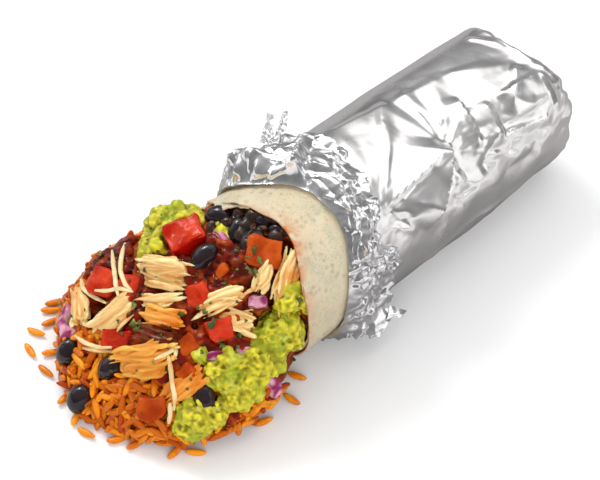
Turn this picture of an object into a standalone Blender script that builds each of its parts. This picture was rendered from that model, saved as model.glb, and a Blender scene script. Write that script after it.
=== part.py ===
"""A burrito in aluminium foil, lying on its side with its filling spilling out of the open end.

The burrito lies along Y. Its closed end points to +Y, its open end to -Y, and the table is the plane Z = 0.
Everything is laid out from the middle of the open end, and moved at the end so that the origin is the
bottom centre of the whole. Sizes are in metres, and those in tables are in millimetres. An angle round
the burrito is in degrees: 0 is its +X side, 90 its top, 180 its -X side and 270 its underside.
"""

import math

import bmesh
import bpy
from mathutils import Matrix, Vector, noise
from mathutils.bvhtree import BVHTree

MM = 0.001

# The wrapped burrito.
LENGTH = 172 * MM  # from the open end to the closed end
HALF_WIDTH_FRONT = 39 * MM  # outside the foil
HALF_WIDTH_REAR = 34.5 * MM
SAG = 1.5 * MM  # half of what its height lacks of its width
SQUARENESS = 2.3  # superellipse power of its cross-section
FLATTENING = 2.5 * MM  # depth of the flat that it rests on
REAR_ROUNDING = 15 * MM  # length over which the closed end rounds off
REAR_POWER = 2.6  # superellipse power of that rounding
REAR_DENT = 3 * MM  # how unevenly the closed end is folded in
REAR_NOTCH = 7 * MM  # how much further it is folded in near its top
CUFF_LIFT = 3.4 * MM  # the cuff underneath lifts the open end
LIFT_ENDS = 15 * MM, 95 * MM  # between these places the underside comes down to the table
SQUEEZE = 5 * MM  # how far the open end is pressed in, high on its -X side
SQUEEZE_ANGLE = 138
SQUEEZE_WIDTH = 40
SQUEEZE_ENDS = 8 * MM, 100 * MM  # between these places the squeeze fades away
DENT = 0.5 * MM  # depth of the dents all over the roll
DENT_SIZE = 40 * MM
FOIL_WALL = 0.8 * MM
TORTILLA_WALL = 2.2 * MM
GAP = 0.35 * MM  # between pieces that touch
TORTILLA_INSET = FOIL_WALL + GAP
FILLING_INSET = TORTILLA_INSET + TORTILLA_WALL + GAP

# The torn foil folded back over itself at the open end.
CUFF_STANDOFF = 2.2 * MM  # the cuff's distance from the foil under it, at least
CUFF_CRUMPLE = 1.6 * MM
CUFF_FLOOR = 0.9 * MM  # lowest place of the cuff's inner side

# The heap of filling in front of the open end: distance from it, height, left edge, right edge, and
# height of the widest part, in millimetres.
HEAP = (
    (0, 67, -35.0, 35.0, 36),
    (6, 64, -35.5, 35.5, 34),
    (14, 59, -50, 37, 20),
    (25, 53, -58, 38, 12),
    (40, 43, -63, 37, 8),
    (54, 32, -60, 31, 6),
    (66, 21, -50, 22, 5),
    (75, 11, -36, 7, 4),
    (82, 3, -19, -17, 2),
)
SPILL = HEAP[-1][0] * MM
HEAP_POWER = 2.2
HEAP_DIP = 2 * MM  # the heap's round sides would reach this far below the table
HEAP_LUMPS = 1.6 * MM
MERGE_ENDS = -3 * MM, 12 * MM  # between these places the filling takes the tortilla's shape
LIP_ENDS = 7 * MM, 16 * MM  # between these distances the heap comes down to the table

WELD = 0.01 * MM  # points nearer than this after a Boolean are one
AROUND = 28  # segments round the foil, the cuff, the tortilla and the filling
FOIL_RINGS = 18
CUFF_RINGS = 12
TORTILLA_RINGS = 11
FILLING_RINGS = 26

BLACK = (0.02, 0.012, 0.014)
RED = (0.55, 0.03, 0.02)
ORANGE_RED = (0.55, 0.10, 0.02)
CHICKEN_TAN = (0.70, 0.42, 0.17)
CHICKEN_GOLD = (0.68, 0.33, 0.07)
SAUCY_CHICKEN = (0.42, 0.13, 0.03)
MAGENTA = (0.40, 0.08, 0.16)
GREEN = (0.45, 0.52, 0.07)


def blend(low, high, value):
    """0 below low, 1 above high, and smooth between them."""
    t = min(max((value - low) / (high - low), 0.0), 1.0)
    return t * t * (3 - 2 * t)


def mix(a, b, t):
    return a + (b - a) * t


def power(value, exponent):
    return math.copysign(abs(value) ** exponent, value)


def hill(angle, centre, width):
    """1 at the centre and near 0 past twice the width, all in degrees round the burrito."""
    off = (angle - centre + 180) % 360 - 180
    return math.exp(-((off / width) ** 2))


def rough(place, size, seed=0.0):
    """A smooth random number between about -1 and 1 for a place in space."""
    return noise.noise(place / size + Vector((seed, 2 * seed, 3 * seed)))


def direction(angle):
    return math.cos(math.radians(angle)), math.sin(math.radians(angle))


def interpolate(rows, value):
    """The row at a value of the first column, straight between the rows given."""
    for low, high in zip(rows, rows[1:]):
        if value <= high[0]:
            break
    t = min(max((value - low[0]) / (high[0] - low[0]), 0.0), 1.0)
    return [mix(a, b, t) for a, b in zip(low, high)]


def roll_point(angle, y, inset, rear=0.0):
    """A place on the roll at y, inset from the foil's outside, whose closed end is moved in by rear."""
    end = LENGTH - inset - rear
    rounding = min(max(0.0, 1 - (end - y) / REAR_ROUNDING), 1.0)
    shrink = (1 - rounding ** REAR_POWER) ** (1 / REAR_POWER)
    c, s = direction(angle)
    outline = Vector((100 * MM * c, y, 100 * MM * s))
    half_width = mix(HALF_WIDTH_FRONT, HALF_WIDTH_REAR, y / LENGTH) - inset + DENT * rough(outline, DENT_SIZE)
    half_height = half_width - SAG
    middle = half_height + inset - FLATTENING
    across = half_width * shrink * power(c, 2 / SQUARENESS)
    up = middle + half_height * shrink * power(s, 2 / SQUARENESS)
    squeeze = SQUEEZE * hill(angle, SQUEEZE_ANGLE, SQUEEZE_WIDTH) * (1 - blend(*SQUEEZE_ENDS, y))
    across -= squeeze * c
    up -= squeeze * s
    lift = CUFF_LIFT * (1 - blend(*LIFT_ENDS, y))
    folded_in = REAR_DENT * (0.5 + rough(outline, DENT_SIZE, 3)) + REAR_NOTCH * hill(angle, 95, 30)
    return Vector((across, y - folded_in * rounding, max(up, inset) + lift))


def heap_point(angle, distance):
    """A place on the heap of filling, at a distance in front of the open end."""
    _, height, left, right, widest = interpolate(HEAP, distance / MM)
    c, s = direction(angle)
    across = (left + right) / 2 + (right - left) / 2 * power(c, 2 / HEAP_POWER)
    reach = height - widest if s > 0 else widest + HEAP_DIP / MM
    floor = FILLING_INSET + CUFF_LIFT
    lowest = floor * (1 - blend(*LIP_ENDS, distance))
    up = (widest + reach * power(s, 2 / HEAP_POWER)) * MM
    return Vector((across * MM, -distance, max(up, lowest)))


def sphere_grid(name, around, rings, place):
    """A UV sphere lying along Y, each point of which goes to place(angle, station).

    The station is 0 at the pole on the -Y side and 1 at the pole on the +Y side.
    """
    bm = bmesh.new()
    bmesh.ops.create_uvsphere(bm, u_segments=around, v_segments=rings, radius=1)
    for vert in bm.verts:
        station = 1 - math.acos(max(-1.0, min(1.0, vert.co.z))) / math.pi
        angle = -math.degrees(math.atan2(vert.co.y, vert.co.x)) % 360
        vert.co = place(angle, station)
    return new_object(name, bm)


def new_object(name, bm):
    """An object in triangles, so that a piece and the cutter of its seat bend the same way."""
    bmesh.ops.triangulate(bm, faces=bm.faces)
    for face in bm.faces:
        face.smooth = True
    mesh = bpy.data.meshes.new(name)
    bm.to_mesh(mesh)
    bm.free()
    return bpy.data.objects.new(name, mesh)


def open_end(obj, pick):
    """Removes the first or last pole along Y, picked by min or max, and the faces round it."""
    bm = bmesh.new()
    bm.from_mesh(obj.data)
    poles = [vert for vert in bm.verts if len(vert.link_edges) == AROUND]
    pole = pick(poles, key=lambda vert: vert.co.y)
    bmesh.ops.delete(bm, geom=[pole], context="VERTS")
    bm.to_mesh(obj.data)
    bm.free()


def solidify(obj, thickness, side=-1):
    """Gives an open shell its wall, inside the surface as modelled, or outside it if the side is 1."""
    wall = obj.modifiers.new("Wall", "SOLIDIFY")
    wall.thickness = thickness
    wall.offset = side


def paint(obj, colour, roughness, metallic=0.0):
    material = bpy.data.materials.new(obj.name)
    material.use_nodes = True
    shader = material.node_tree.nodes["Principled BSDF"]
    shader.inputs["Base Color"].default_value = (*colour, 1)
    shader.inputs["Roughness"].default_value = roughness
    shader.inputs["Metallic"].default_value = metallic
    obj.data.materials.append(material)


# The wrapping


def foil_front(angle):
    """Where the foil folds back on itself, along Y."""
    return (17 + 11 * hill(angle, 65, 38) - 5 * hill(angle, 130, 40) - 3 * hill(angle, 300, 40)) * MM


def cuff_back(angle):
    """Where the folded cuff's torn edge lies, along Y."""
    return (37 + 9 * hill(angle, 120, 50) + 5 * hill(angle, 350, 30) + 2.5 * math.sin(angle / 7)) * MM


def cuff_standoff(angle, t):
    """How far the cuff stands off the foil under it, from 0 at its torn edge to 1 at the fold."""
    off = 1.5 + 1.2 * hill(angle, 145, 40) + 2.5 * hill(angle, 60, 40) + 7 * hill(angle, 330, 22) * (1 - t)
    tip = 9 * hill(angle, 122, 8) * hill(90 * t, 25, 20)
    return (off * math.sin(math.radians(12 + 168 * t)) + tip) * MM + CUFF_STANDOFF


def foil_place(angle, station):
    t = max(0.0, station - 1 / FOIL_RINGS) / (1 - 1 / FOIL_RINGS)
    return roll_point(angle, mix(foil_front(angle), LENGTH, 1 - (1 - t) ** 1.4), 0)


def cuff_place(angle, station):
    """The inner side of the cuff, which curls out of the foil's front edge and back over the roll."""
    front, back = foil_front(angle), cuff_back(angle)
    ring = station * CUFF_RINGS  # from 1 at its front edge to CUFF_RINGS - 1 at its torn edge
    if ring < 1.5:
        return roll_point(angle, front - GAP, 0)
    if ring < 2.5:
        return roll_point(angle, front - CUFF_STANDOFF / 2, -CUFF_STANDOFF / 2)
    t = max(0.0, CUFF_RINGS - 1 - ring) / (CUFF_RINGS - 4)
    place = roll_point(angle, mix(back, front, t), -cuff_standoff(angle, t))
    c, s = direction(angle)
    crumple = CUFF_CRUMPLE * rough(place, 9 * MM)
    place += Vector((c * crumple, CUFF_CRUMPLE * rough(place, 7 * MM, 5), s * crumple))
    place.z = max(place.z, CUFF_FLOOR)
    return place


def tortilla_rim(angle):
    """Where the tortilla's edge lies, along Y."""
    return (-3.5 + 10 * hill(angle, 76, 34) + 9 * hill(angle, 175, 40)) * MM


def tortilla_place(angle, station):
    inset = TORTILLA_INSET
    rear = 2 * MM
    t = max(0.0, station - 1 / TORTILLA_RINGS) / (1 - 1 / TORTILLA_RINGS)
    y = mix(tortilla_rim(angle), LENGTH - inset - rear, 1 - (1 - t) ** 1.4)
    return roll_point(angle, y, inset, rear)


def make_foil():
    foil = sphere_grid("foil_wrap", AROUND, FOIL_RINGS, foil_place)
    open_end(foil, min)
    solidify(foil, FOIL_WALL)
    paint(foil, (0.78, 0.78, 0.80), 0.22, 1.0)
    return foil


def make_cuff():
    cuff = sphere_grid("foil_cuff", AROUND, CUFF_RINGS, cuff_place)
    open_end(cuff, min)
    open_end(cuff, max)
    solidify(cuff, FOIL_WALL, 1)
    paint(cuff, (0.78, 0.78, 0.80), 0.22, 1.0)
    return cuff


def make_tortilla():
    tortilla = sphere_grid("tortilla", AROUND, TORTILLA_RINGS, tortilla_place)
    open_end(tortilla, min)
    solidify(tortilla, TORTILLA_WALL)
    paint(tortilla, (0.68, 0.58, 0.40), 0.7)
    return tortilla


# The filling


def filling_place(angle, station):
    rear = 4 * MM
    heap_share = 0.6
    end = LENGTH - FILLING_INSET - rear
    if station < heap_share:
        y = mix(-SPILL, 0, (station / heap_share) ** 1.15)
    else:
        y = end * (1 - (1 - (station - heap_share) / (1 - heap_share)) ** 1.3)
    rolled = roll_point(angle, y, FILLING_INSET, rear)
    if y > MERGE_ENDS[1]:
        return rolled
    heaped = heap_point(angle, max(-y, 0))
    lumps = HEAP_LUMPS * rough(heaped, 9 * MM) * blend(4 * MM, 12 * MM, -y)
    c, s = direction(angle)
    heaped += Vector((c, 0, max(s, 0))) * lumps
    if -y < LIP_ENDS[0]:
        middle = Vector((0, y, HALF_WIDTH_FRONT))
        heaped = min(heaped, rolled, key=lambda spot: (spot - middle).length)
    return heaped.lerp(rolled, blend(*MERGE_ENDS, y))


def make_rice():
    rice = sphere_grid("rice_filling", AROUND, FILLING_RINGS, filling_place)
    paint(rice, (0.75, 0.26, 0.04), 0.5)
    return rice


def surface(tree, x, distance):
    """The place and the outward direction of the heap's top at x and at a distance from the open end."""
    place, normal, _, _ = tree.ray_cast(Vector((x * MM, -distance * MM, 1)), Vector((0, 0, -1)))
    return place, normal


def settle(obj, tree, x, distance, sink, turn, tip=0, lean=0):
    """Puts a piece on the heap, sunk into it, turned about the heap's normal and then tipped and leant."""
    place, normal = surface(tree, x, distance)
    side = Vector((1, 0, 0))
    side = (side - side.dot(normal) * normal).normalized()
    frame = Matrix((side, normal.cross(side), normal)).transposed().to_4x4()
    turned = Matrix.Rotation(math.radians(turn), 4, "Z")
    tipped = Matrix.Rotation(math.radians(tip), 4, "Y") @ Matrix.Rotation(math.radians(lean), 4, "X")
    obj.data.transform(Matrix.Translation(place - normal * sink * MM) @ frame @ turned @ tipped)


def bean(name, length, width):
    """A black bean along X with a hollow on one side, where it was joined to its pod."""
    def place(angle, station):
        c, s = direction(angle)
        along = -math.cos(math.pi * station)
        round_off = math.sin(math.pi * station) ** 0.9
        hollow = 0.12 * width * (1 - along * along) * max(c, 0)
        return Vector((length / 2 * along, (hollow - width / 2 * c) * round_off,
                       0.44 * width * s * round_off)) * MM
    obj = sphere_grid(name, 8, 6, place)
    paint(obj, BLACK, 0.15)
    return obj


def dice(name, size, colour, seed):
    """A chunk of tomato: a box with worn edges and no two faces parallel."""
    bm = bmesh.new()
    bmesh.ops.create_cube(bm, size=1)
    for vert in bm.verts:
        skew = Vector([0.09 * rough(vert.co * MM, 0.5 * MM, seed + axis) for axis in range(3)])
        vert.co = Vector([(a + b) * width * MM for a, b, width in zip(vert.co, skew, size)])
    edge = 0.12 * min(size) * MM
    bmesh.ops.bevel(bm, geom=bm.edges[:], offset=edge, segments=1, affect="EDGES", clamp_overlap=True)
    obj = new_object(name, bm)
    paint(obj, colour, 0.25)
    return obj


def chicken(name, size, colour, seed):
    """A torn chunk of chicken along X, with grooves between its fibres and one end narrower."""
    def place(angle, station):
        c, s = direction(angle)
        along = -math.cos(math.pi * station)
        round_off = math.sin(math.pi * station) ** 0.6 * (1 - 0.18 * along)
        spot = Vector((along, c * round_off, s * round_off))
        groove = 1 + 0.12 * math.sin(3 * math.radians(angle) + seed) + 0.22 * rough(spot, 0.7, seed)
        return Vector([0.5 * width * MM * part for width, part in
                       zip(size, (along, -c * round_off * groove, s * round_off * groove))])
    obj = sphere_grid(name, 8, 6, place)
    paint(obj, colour, 0.55)
    return obj


def onion(name, size, colour):
    """A slice of onion: a thin slab along X that curves like the layer it was cut from."""
    length, width, thickness = size
    bm = bmesh.new()
    bmesh.ops.create_cube(bm, size=1)
    along = [edge for edge in bm.edges if abs(edge.verts[0].co.x - edge.verts[1].co.x) > 0.5]
    bmesh.ops.subdivide_edges(bm, edges=along, cuts=3)
    for vert in bm.verts:
        x, y, z = vert.co
        taper = 1 - 1.2 * x * x
        vert.co = Vector((x * length, y * width * taper, z * thickness - 0.9 * x * x * length)) * MM
    obj = new_object(name, bm)
    paint(obj, colour, 0.3)
    return obj


def lump(name, size, seed):
    """A dollop of guacamole."""
    def place(angle, station):
        c, s = direction(angle)
        along = -math.cos(math.pi * station)
        round_off = math.sin(math.pi * station)
        spot = Vector((c * round_off, along, s * round_off))
        swell = 1 + 0.2 * rough(spot, 0.6, seed)
        return Vector([0.5 * width * swell * MM * part for width, part in zip(size, spot)])
    obj = sphere_grid(name, 10, 7, place)
    paint(obj, GREEN, 0.45)
    return obj


# The pieces on the heap: x and distance from the open end, depth they are sunk, and turns, all in
# millimetres and degrees.

BEANS = (  # length, width, x, distance, sink, turn
    (12, 10.5, -37, 70, 0, 80),
    (12, 10.5, -14, 66, 1, 70),
    (12.5, 11, -18, 78.5, -1.5, 90),
    (13, 10, -7, 18.5, -1, 80),
    (11, 9.5, -16, 4, 0, 30),
    (11, 8, -5, 3, 1, 110),
    (7, 6, 1.5, -4, 1, 20),
    (7, 5, 9, -5, 1, 30),
    (12, 10.5, 25, 49, -1, 130),
)
TOMATOES = (  # length, width, thickness, colour, x, distance, sink, turn, tip
    (18, 14, 11, RED, -21, 17, -1, 68, 10),
    (12, 12, 10, RED, -40, 45, 0, 20, 12),
    (11, 10, 9, RED, -28, 42, 1, 100, 10),
    (8, 7, 7, ORANGE_RED, -31, 31, 1, 30, 0),
    (14, 9, 9, RED, -19, 58, 1, 28, 8),
    (12, 11, 9, ORANGE_RED, 11, 65, 0, 30, 10),
    (10, 9, 8, RED, 0.5, 29, 0, 50, -10),
    (8, 4, 5, ORANGE_RED, 2, 18, 1, 78, 0),
    (16, 11, 10, ORANGE_RED, 12.5, 3, 1, 28, 5),
    (13, 9, 9, RED, 15.5, 32, -1, 58, 10),
    (9, 8, 7, ORANGE_RED, 9, 43, 0, 68, 0),
    (8, 7, 7, ORANGE_RED, 15, 49.5, 0, 0, 0),
)
CHICKEN = (  # length, width, thickness, colour, x, distance, sink, turn, tip
    (20, 14, 11, CHICKEN_TAN, -15, 32.5, 0, 48, 0),
    (18, 12, 11, CHICKEN_TAN, -35, 56, 1, 50, 0),
    (19, 13, 12, CHICKEN_GOLD, 0.5, 57.5, 0, 23, 0),
    (12, 7, 7, CHICKEN_TAN, 12, 23, 1, 53, 0),
    (16, 11, 9, CHICKEN_TAN, 26, 8.5, 1, -40, 0),
    (20, 11, 8, SAUCY_CHICKEN, -7, 45, 1, 28, 0),
    (9, 6, 6, CHICKEN_TAN, 23, 22, 1, 10, 0),
    (10, 6, 7, SAUCY_CHICKEN, 18, 56.5, 1, -20, 0),
)
ONIONS = (  # length, width, thickness, x, distance, sink, turn
    (12, 7, 3.5, -48, 61, -1, -20),
    (10, 4, 3.5, -8.5, 9.5, -1, 0),
    (7, 5, 3.5, 20, 16.3, -1, 40),
    (9, 4, 3, 20, 39, -1, 50),
    (8, 6, 3.5, 27, 30, -1, 30),
    (11, 6, 3.5, 37.5, 25, -2, 60),
)
GUACAMOLE = (  # width, length, thickness, x, distance, sink, turn, of the lumps on the +X side
    (14, 17, 14, 28, 5.5, 3, 0),
    (22, 20, 15, 32, 15, 2, 20),
    (22, 22, 15, 32, 28, 2, 0),
    (16, 18, 12, 25, 39.5, 1, 0),
    (20, 22, 15, 33, 38, 3, 0),
    (18, 24, 15, 27, 54, 1, -20),
)
STRIP_SIZE = 16, 150, 18  # the guacamole that runs on through the burrito, in millimetres
STRIP_MIDDLE = 21, 62, 40


def make_beans(tree):
    beans = []
    for number, (length, width, *where) in enumerate(BEANS, 1):
        obj = bean(f"bean_{number}", length, width)
        settle(obj, tree, *where)
        beans.append(obj)
    return beans


def make_pieces(kind, make, rows, tree):
    """The numbered pieces of one kind, from rows of their size, their colour and where they lie."""
    pieces = []
    for number, (*size, colour, x, distance, sink, turn, tip) in enumerate(rows, 1):
        obj = make(f"{kind}_{number}", size, colour, number)
        settle(obj, tree, x, distance, sink, turn, tip)
        pieces.append(obj)
    return pieces


def make_onions(tree):
    onions = []
    for number, (*size, x, distance, sink, turn) in enumerate(ONIONS, 1):
        obj = onion(f"red_onion_{number}", size, MAGENTA)
        settle(obj, tree, x, distance, sink, turn)
        onions.append(obj)
    return onions


def make_guacamole_lumps(tree):
    """The strip inside the burrito and the lumps that it comes out as, still apart."""
    strip = lump("guacamole_right", STRIP_SIZE, 1)
    strip.data.transform(Matrix.Translation(Vector(STRIP_MIDDLE) * MM))
    lumps = [strip]
    for number, (*size, x, distance, sink, turn) in enumerate(GUACAMOLE, 2):
        obj = lump(f"guacamole_lump_{number}", size, number)
        settle(obj, tree, x, distance, sink, turn)
        lumps.append(obj)
    return lumps


def swollen(obj, collection):
    """A copy of a piece, larger by the gap all round, to cut its seat with."""
    mesh = obj.data.copy()
    for vert, normal in zip(mesh.vertices, [vert.normal.copy() for vert in mesh.vertices]):
        vert.co += normal * GAP
    cutter = bpy.data.objects.new(obj.name + "_cutter", mesh)
    cutter.hide_render = True
    cutter.display_type = "WIRE"
    collection.objects.link(cutter)


def combine(obj, operation, collection):
    """Applies a Boolean with everything in a collection, and keeps the one largest piece of the result."""
    boolean = obj.modifiers.new(operation.title(), "BOOLEAN")
    boolean.operation = operation
    boolean.operand_type = "COLLECTION"
    boolean.collection = collection
    boolean.solver = "EXACT"
    bpy.context.view_layer.update()
    finished = obj.evaluated_get(bpy.context.evaluated_depsgraph_get())
    bm = bmesh.new()
    bm.from_mesh(finished.to_mesh())
    finished.to_mesh_clear()
    obj.modifiers.remove(boolean)
    bmesh.ops.remove_doubles(bm, verts=bm.verts, dist=WELD)
    bmesh.ops.dissolve_degenerate(bm, edges=bm.edges, dist=WELD / 2)
    bmesh.ops.triangulate(bm, faces=bm.faces)
    unseen = set(bm.verts)
    islands = []
    while unseen:
        island = set()
        front = [unseen.pop()]
        while front:
            vert = front.pop()
            island.add(vert)
            for edge in vert.link_edges:
                other = edge.other_vert(vert)
                if other in unseen:
                    unseen.remove(other)
                    front.append(other)
        islands.append(island)
    islands.sort(key=len)
    for island in islands[:-1]:
        bmesh.ops.delete(bm, geom=list(island), context="VERTS")
    bm.to_mesh(obj.data)
    bm.free()


def new_collection(name):
    collection = bpy.data.collections.new(name)
    bpy.context.scene.collection.children.link(collection)
    return collection


def make_filling(burrito, seats):
    """The rice, the guacamole, and everything that lies on them in seats of its own shape."""
    rice = make_rice()
    tree = BVHTree.FromPolygons([vert.co for vert in rice.data.vertices],
                                [face.vertices[:] for face in rice.data.polygons])
    pieces = make_beans(tree) + make_onions(tree)
    pieces += make_pieces("tomato", dice, TOMATOES, tree)
    pieces += make_pieces("chicken", chicken, CHICKEN, tree)
    left = lump("guacamole_left", (17, 27, 13), 8)
    settle(left, tree, -28, 15, 2, 0)
    strip, *lumps = make_guacamole_lumps(tree)

    for obj in pieces:
        swollen(obj, seats)
    for obj in (rice, left, strip, *pieces):
        burrito.objects.link(obj)
    merged = new_collection("guacamole_lumps")
    for obj in lumps:
        merged.objects.link(obj)
    under_guacamole = new_collection("guacamole_seats")
    for obj in (left, strip, *lumps):
        swollen(obj, under_guacamole)

    combine(strip, "UNION", merged)
    for guacamole in (strip, left):
        combine(guacamole, "DIFFERENCE", seats)
    combine(rice, "DIFFERENCE", under_guacamole)
    combine(rice, "DIFFERENCE", seats)
    for collection in (merged, under_guacamole, seats):
        for obj in list(collection.objects):
            bpy.data.objects.remove(obj)
        bpy.data.collections.remove(collection)


def main():
    for obj in list(bpy.data.objects):
        bpy.data.objects.remove(obj)
    burrito = new_collection("burrito")
    for obj in (make_foil(), make_cuff(), make_tortilla()):
        burrito.objects.link(obj)
    make_filling(burrito, new_collection("seats"))

    bpy.context.view_layer.update()
    depsgraph = bpy.context.evaluated_depsgraph_get()
    corners = [Vector(corner) for obj in burrito.objects for corner in obj.evaluated_get(depsgraph).bound_box]
    low = Vector([min(corner[axis] for corner in corners) for axis in range(3)])
    high = Vector([max(corner[axis] for corner in corners) for axis in range(3)])
    whole = bpy.data.objects.new("burrito", None)
    bpy.context.scene.collection.objects.link(whole)
    whole.location = (-(low.x + high.x) / 2, -(low.y + high.y) / 2, -low.z)
    for obj in burrito.objects:
        obj.parent = whole


if __name__ == "__main__":
    main()
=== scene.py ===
import math

import bmesh
import bpy
import numpy as np
from mathutils import Matrix, Vector
from mathutils.bvhtree import BVHTree


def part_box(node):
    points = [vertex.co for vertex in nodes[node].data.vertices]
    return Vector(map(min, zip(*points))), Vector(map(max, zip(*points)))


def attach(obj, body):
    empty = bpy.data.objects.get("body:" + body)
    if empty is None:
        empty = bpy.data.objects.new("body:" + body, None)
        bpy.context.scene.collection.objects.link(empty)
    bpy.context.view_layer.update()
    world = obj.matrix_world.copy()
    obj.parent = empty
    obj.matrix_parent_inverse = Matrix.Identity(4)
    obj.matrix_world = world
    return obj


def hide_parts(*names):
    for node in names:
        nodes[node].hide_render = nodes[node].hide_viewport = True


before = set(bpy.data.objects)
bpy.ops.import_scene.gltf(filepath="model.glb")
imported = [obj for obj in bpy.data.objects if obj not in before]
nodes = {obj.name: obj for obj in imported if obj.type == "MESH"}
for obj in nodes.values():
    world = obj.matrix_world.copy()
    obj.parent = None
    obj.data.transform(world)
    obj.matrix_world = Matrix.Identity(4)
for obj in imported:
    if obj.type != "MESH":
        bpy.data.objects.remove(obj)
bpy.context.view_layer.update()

MM = 0.001

# The studio: a white table, a big soft light high on the left with a small bright lamp beside it for the
# glints on wet food, softer lights behind and at the sides, and a long lens that looks down on the open end.

LOOK_AT = Vector((0.0037, -0.0112, 0.0286))
LOOK_FROM = math.radians(46), math.radians(49.5)  # azimuth and elevation
CAMERA_DISTANCE = 0.8


def deselect_all():
    for obj in bpy.context.selected_objects:
        obj.select_set(False)


def direction_to(azimuth, elevation):
    return Vector((math.sin(azimuth) * math.cos(elevation), -math.cos(azimuth) * math.cos(elevation),
                   math.sin(elevation)))


def aim(obj, place, target):
    obj.location = place
    obj.rotation_euler = (target - place).to_track_quat("-Z", "Y").to_euler()


def soft_light(name, place, width, height, watts):
    bpy.ops.object.light_add(type="AREA", location=place)
    light = bpy.context.object
    light.name = name
    light.data.shape = "RECTANGLE"
    light.data.size = width
    light.data.size_y = height
    light.data.energy = watts
    aim(light, Vector(place), Vector((0, 0, 0.03)))


def new_material(name, **settings):
    """A Principled material with the given input values, its node tree, shader and place coordinates."""
    material = bpy.data.materials.new(name)
    material.use_nodes = True
    tree = material.node_tree
    shader = tree.nodes["Principled BSDF"]
    for key, value in settings.items():
        shader.inputs[key.replace("_", " ")].default_value = value
    return material, tree, shader, tree.nodes.new("ShaderNodeTexCoord").outputs["Object"]


def add_node(tree, kind, **values):
    """A shader node with its settings and its unlinked inputs set by name."""
    node = tree.nodes.new(kind)
    for name, value in values.items():
        if hasattr(node, name):
            setattr(node, name, value)
        else:
            node.inputs[name.replace("_", " ")].default_value = value
    return node


def feed(tree, socket, value):
    """Links a socket to another one, or sets it to a number or a colour."""
    if isinstance(value, bpy.types.NodeSocket):
        tree.links.new(value, socket)
    else:
        socket.default_value = value if isinstance(value, (int, float)) else (*value, 1)


def mix_colours(tree, factor, first, second):
    """Mixes two colours, each a socket or three numbers, and returns the result's socket."""
    node = add_node(tree, "ShaderNodeMix", data_type="RGBA")
    for name, value in (("Factor", factor), ("A", first), ("B", second)):
        feed(tree, node.inputs[name], value)
    return node.outputs["Result"]


def calculate(tree, operation, first, second):
    node = add_node(tree, "ShaderNodeMath", operation=operation)
    feed(tree, node.inputs[0], first)
    feed(tree, node.inputs[1], second)
    return node.outputs["Value"]


def stretch(tree, value, low, high, to_low=0.0, to_high=1.0):
    """Stretches what runs between two values to run between two others."""
    node = add_node(tree, "ShaderNodeMapRange", From_Min=low, From_Max=high, To_Min=to_low, To_Max=to_high)
    tree.links.new(value, node.inputs["Value"])
    return node.outputs["Result"]


def colour_in(tree, shader, socket):
    tree.links.new(socket, shader.inputs["Base Color"])


# The camera sees the table white. The foil mirrors a darker one, which is paler to the right and in front:
# painted shade, seen only in reflections and bounced light, deepest near the roll where its shadow lies.
deselect_all()
bpy.ops.mesh.primitive_plane_add(size=6, location=(0, 0, 0))
table_top = bpy.context.object
table_top.name = "table_top"
white, tree, shader, place = new_material("white_table", Roughness=0.9, Specular_IOR_Level=0.1)
split = add_node(tree, "ShaderNodeSeparateXYZ")
tree.links.new(place, split.inputs["Vector"])
on_the_right = stretch(tree, split.outputs["X"], 0.08, 0.24)
in_front = stretch(tree, split.outputs["Y"], -0.04, -0.16)
# Painted shade: the grey table that other rays meet, darkest close to the roll.
mirrored_painted_shade = mix_colours(tree, calculate(tree, "MAXIMUM", on_the_right, in_front), (0.32, 0.31, 0.312),
                       (0.76, 0.75, 0.75))
seen = add_node(tree, "ShaderNodeLightPath").outputs["Is Camera Ray"]
colour_in(tree, shader, mix_colours(tree, seen, mirrored_painted_shade, (0.93, 0.93, 0.93)))
table_top.data.materials.append(white)

soft_light("key_softbox", (-1.36, 0.17, 1.62), 0.8, 0.8, 17)
soft_light("small_lamp", (-1.10, 0.10, 1.30), 0.08, 0.08, 2.8)
soft_light("left_card", (-1.40, -0.35, 0.75), 1.4, 1.0, 4.0)
bpy.context.object.visible_diffuse = False  # a white card that only the foil mirrors
soft_light("overhead_softbox", (-0.35, 0.80, 1.55), 1.9, 1.6, 7.6)
soft_light("right_softbox", (1.18, 0.92, 0.58), 1.0, 1.0, 2.6)
soft_light("front_fill", (1.30, -0.85, 0.80), 1.3, 1.3, 17)
bpy.context.object.visible_glossy = False  # it lights the food but isn't mirrored in the foil

# The studio's walls: darker below and on one side, and seen dimmer in the foil than they light the food.
world = bpy.data.worlds.new("studio")
bpy.context.scene.world = world
world.use_nodes = True
tree = world.node_tree
background = tree.nodes["Background"]
around = add_node(tree, "ShaderNodeTexCoord").outputs["Generated"]
path = add_node(tree, "ShaderNodeLightPath")
split = add_node(tree, "ShaderNodeSeparateXYZ")
tree.links.new(around, split.inputs["Vector"])
walls = add_node(tree, "ShaderNodeValToRGB")
walls.color_ramp.elements[0].color = (0.22, 0.22, 0.23, 1)
walls.color_ramp.elements[1].color = (0.95, 0.95, 0.95, 1)
tree.links.new(split.outputs["Z"], walls.inputs["Fac"])
dark_side = add_node(tree, "ShaderNodeVectorMath", operation="DOT_PRODUCT")
dark_side.inputs[1].default_value = direction_to(*LOOK_FROM)
tree.links.new(around, dark_side.inputs[0])
dimmed = calculate(tree, "MULTIPLY", stretch(tree, dark_side.outputs["Value"], 0.45, 0.92, 0.0, 0.5),
                   path.outputs["Is Glossy Ray"])
colour = mix_colours(tree, dimmed, walls.outputs["Color"], (0.03, 0.03, 0.032))
tree.links.new(colour, background.inputs["Color"])
strength = stretch(tree, path.outputs["Is Diffuse Ray"], 0, 1, 0.7, 0.85)
tree.links.new(strength, background.inputs["Strength"])
bpy.context.scene.view_settings.view_transform = "Standard"

bpy.ops.object.camera_add()
camera = bpy.context.object
camera.data.lens = 113
camera.data.sensor_width = 36
aim(camera, LOOK_AT + CAMERA_DISTANCE * direction_to(*LOOK_FROM), LOOK_AT)
bpy.context.scene.camera = camera

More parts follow.
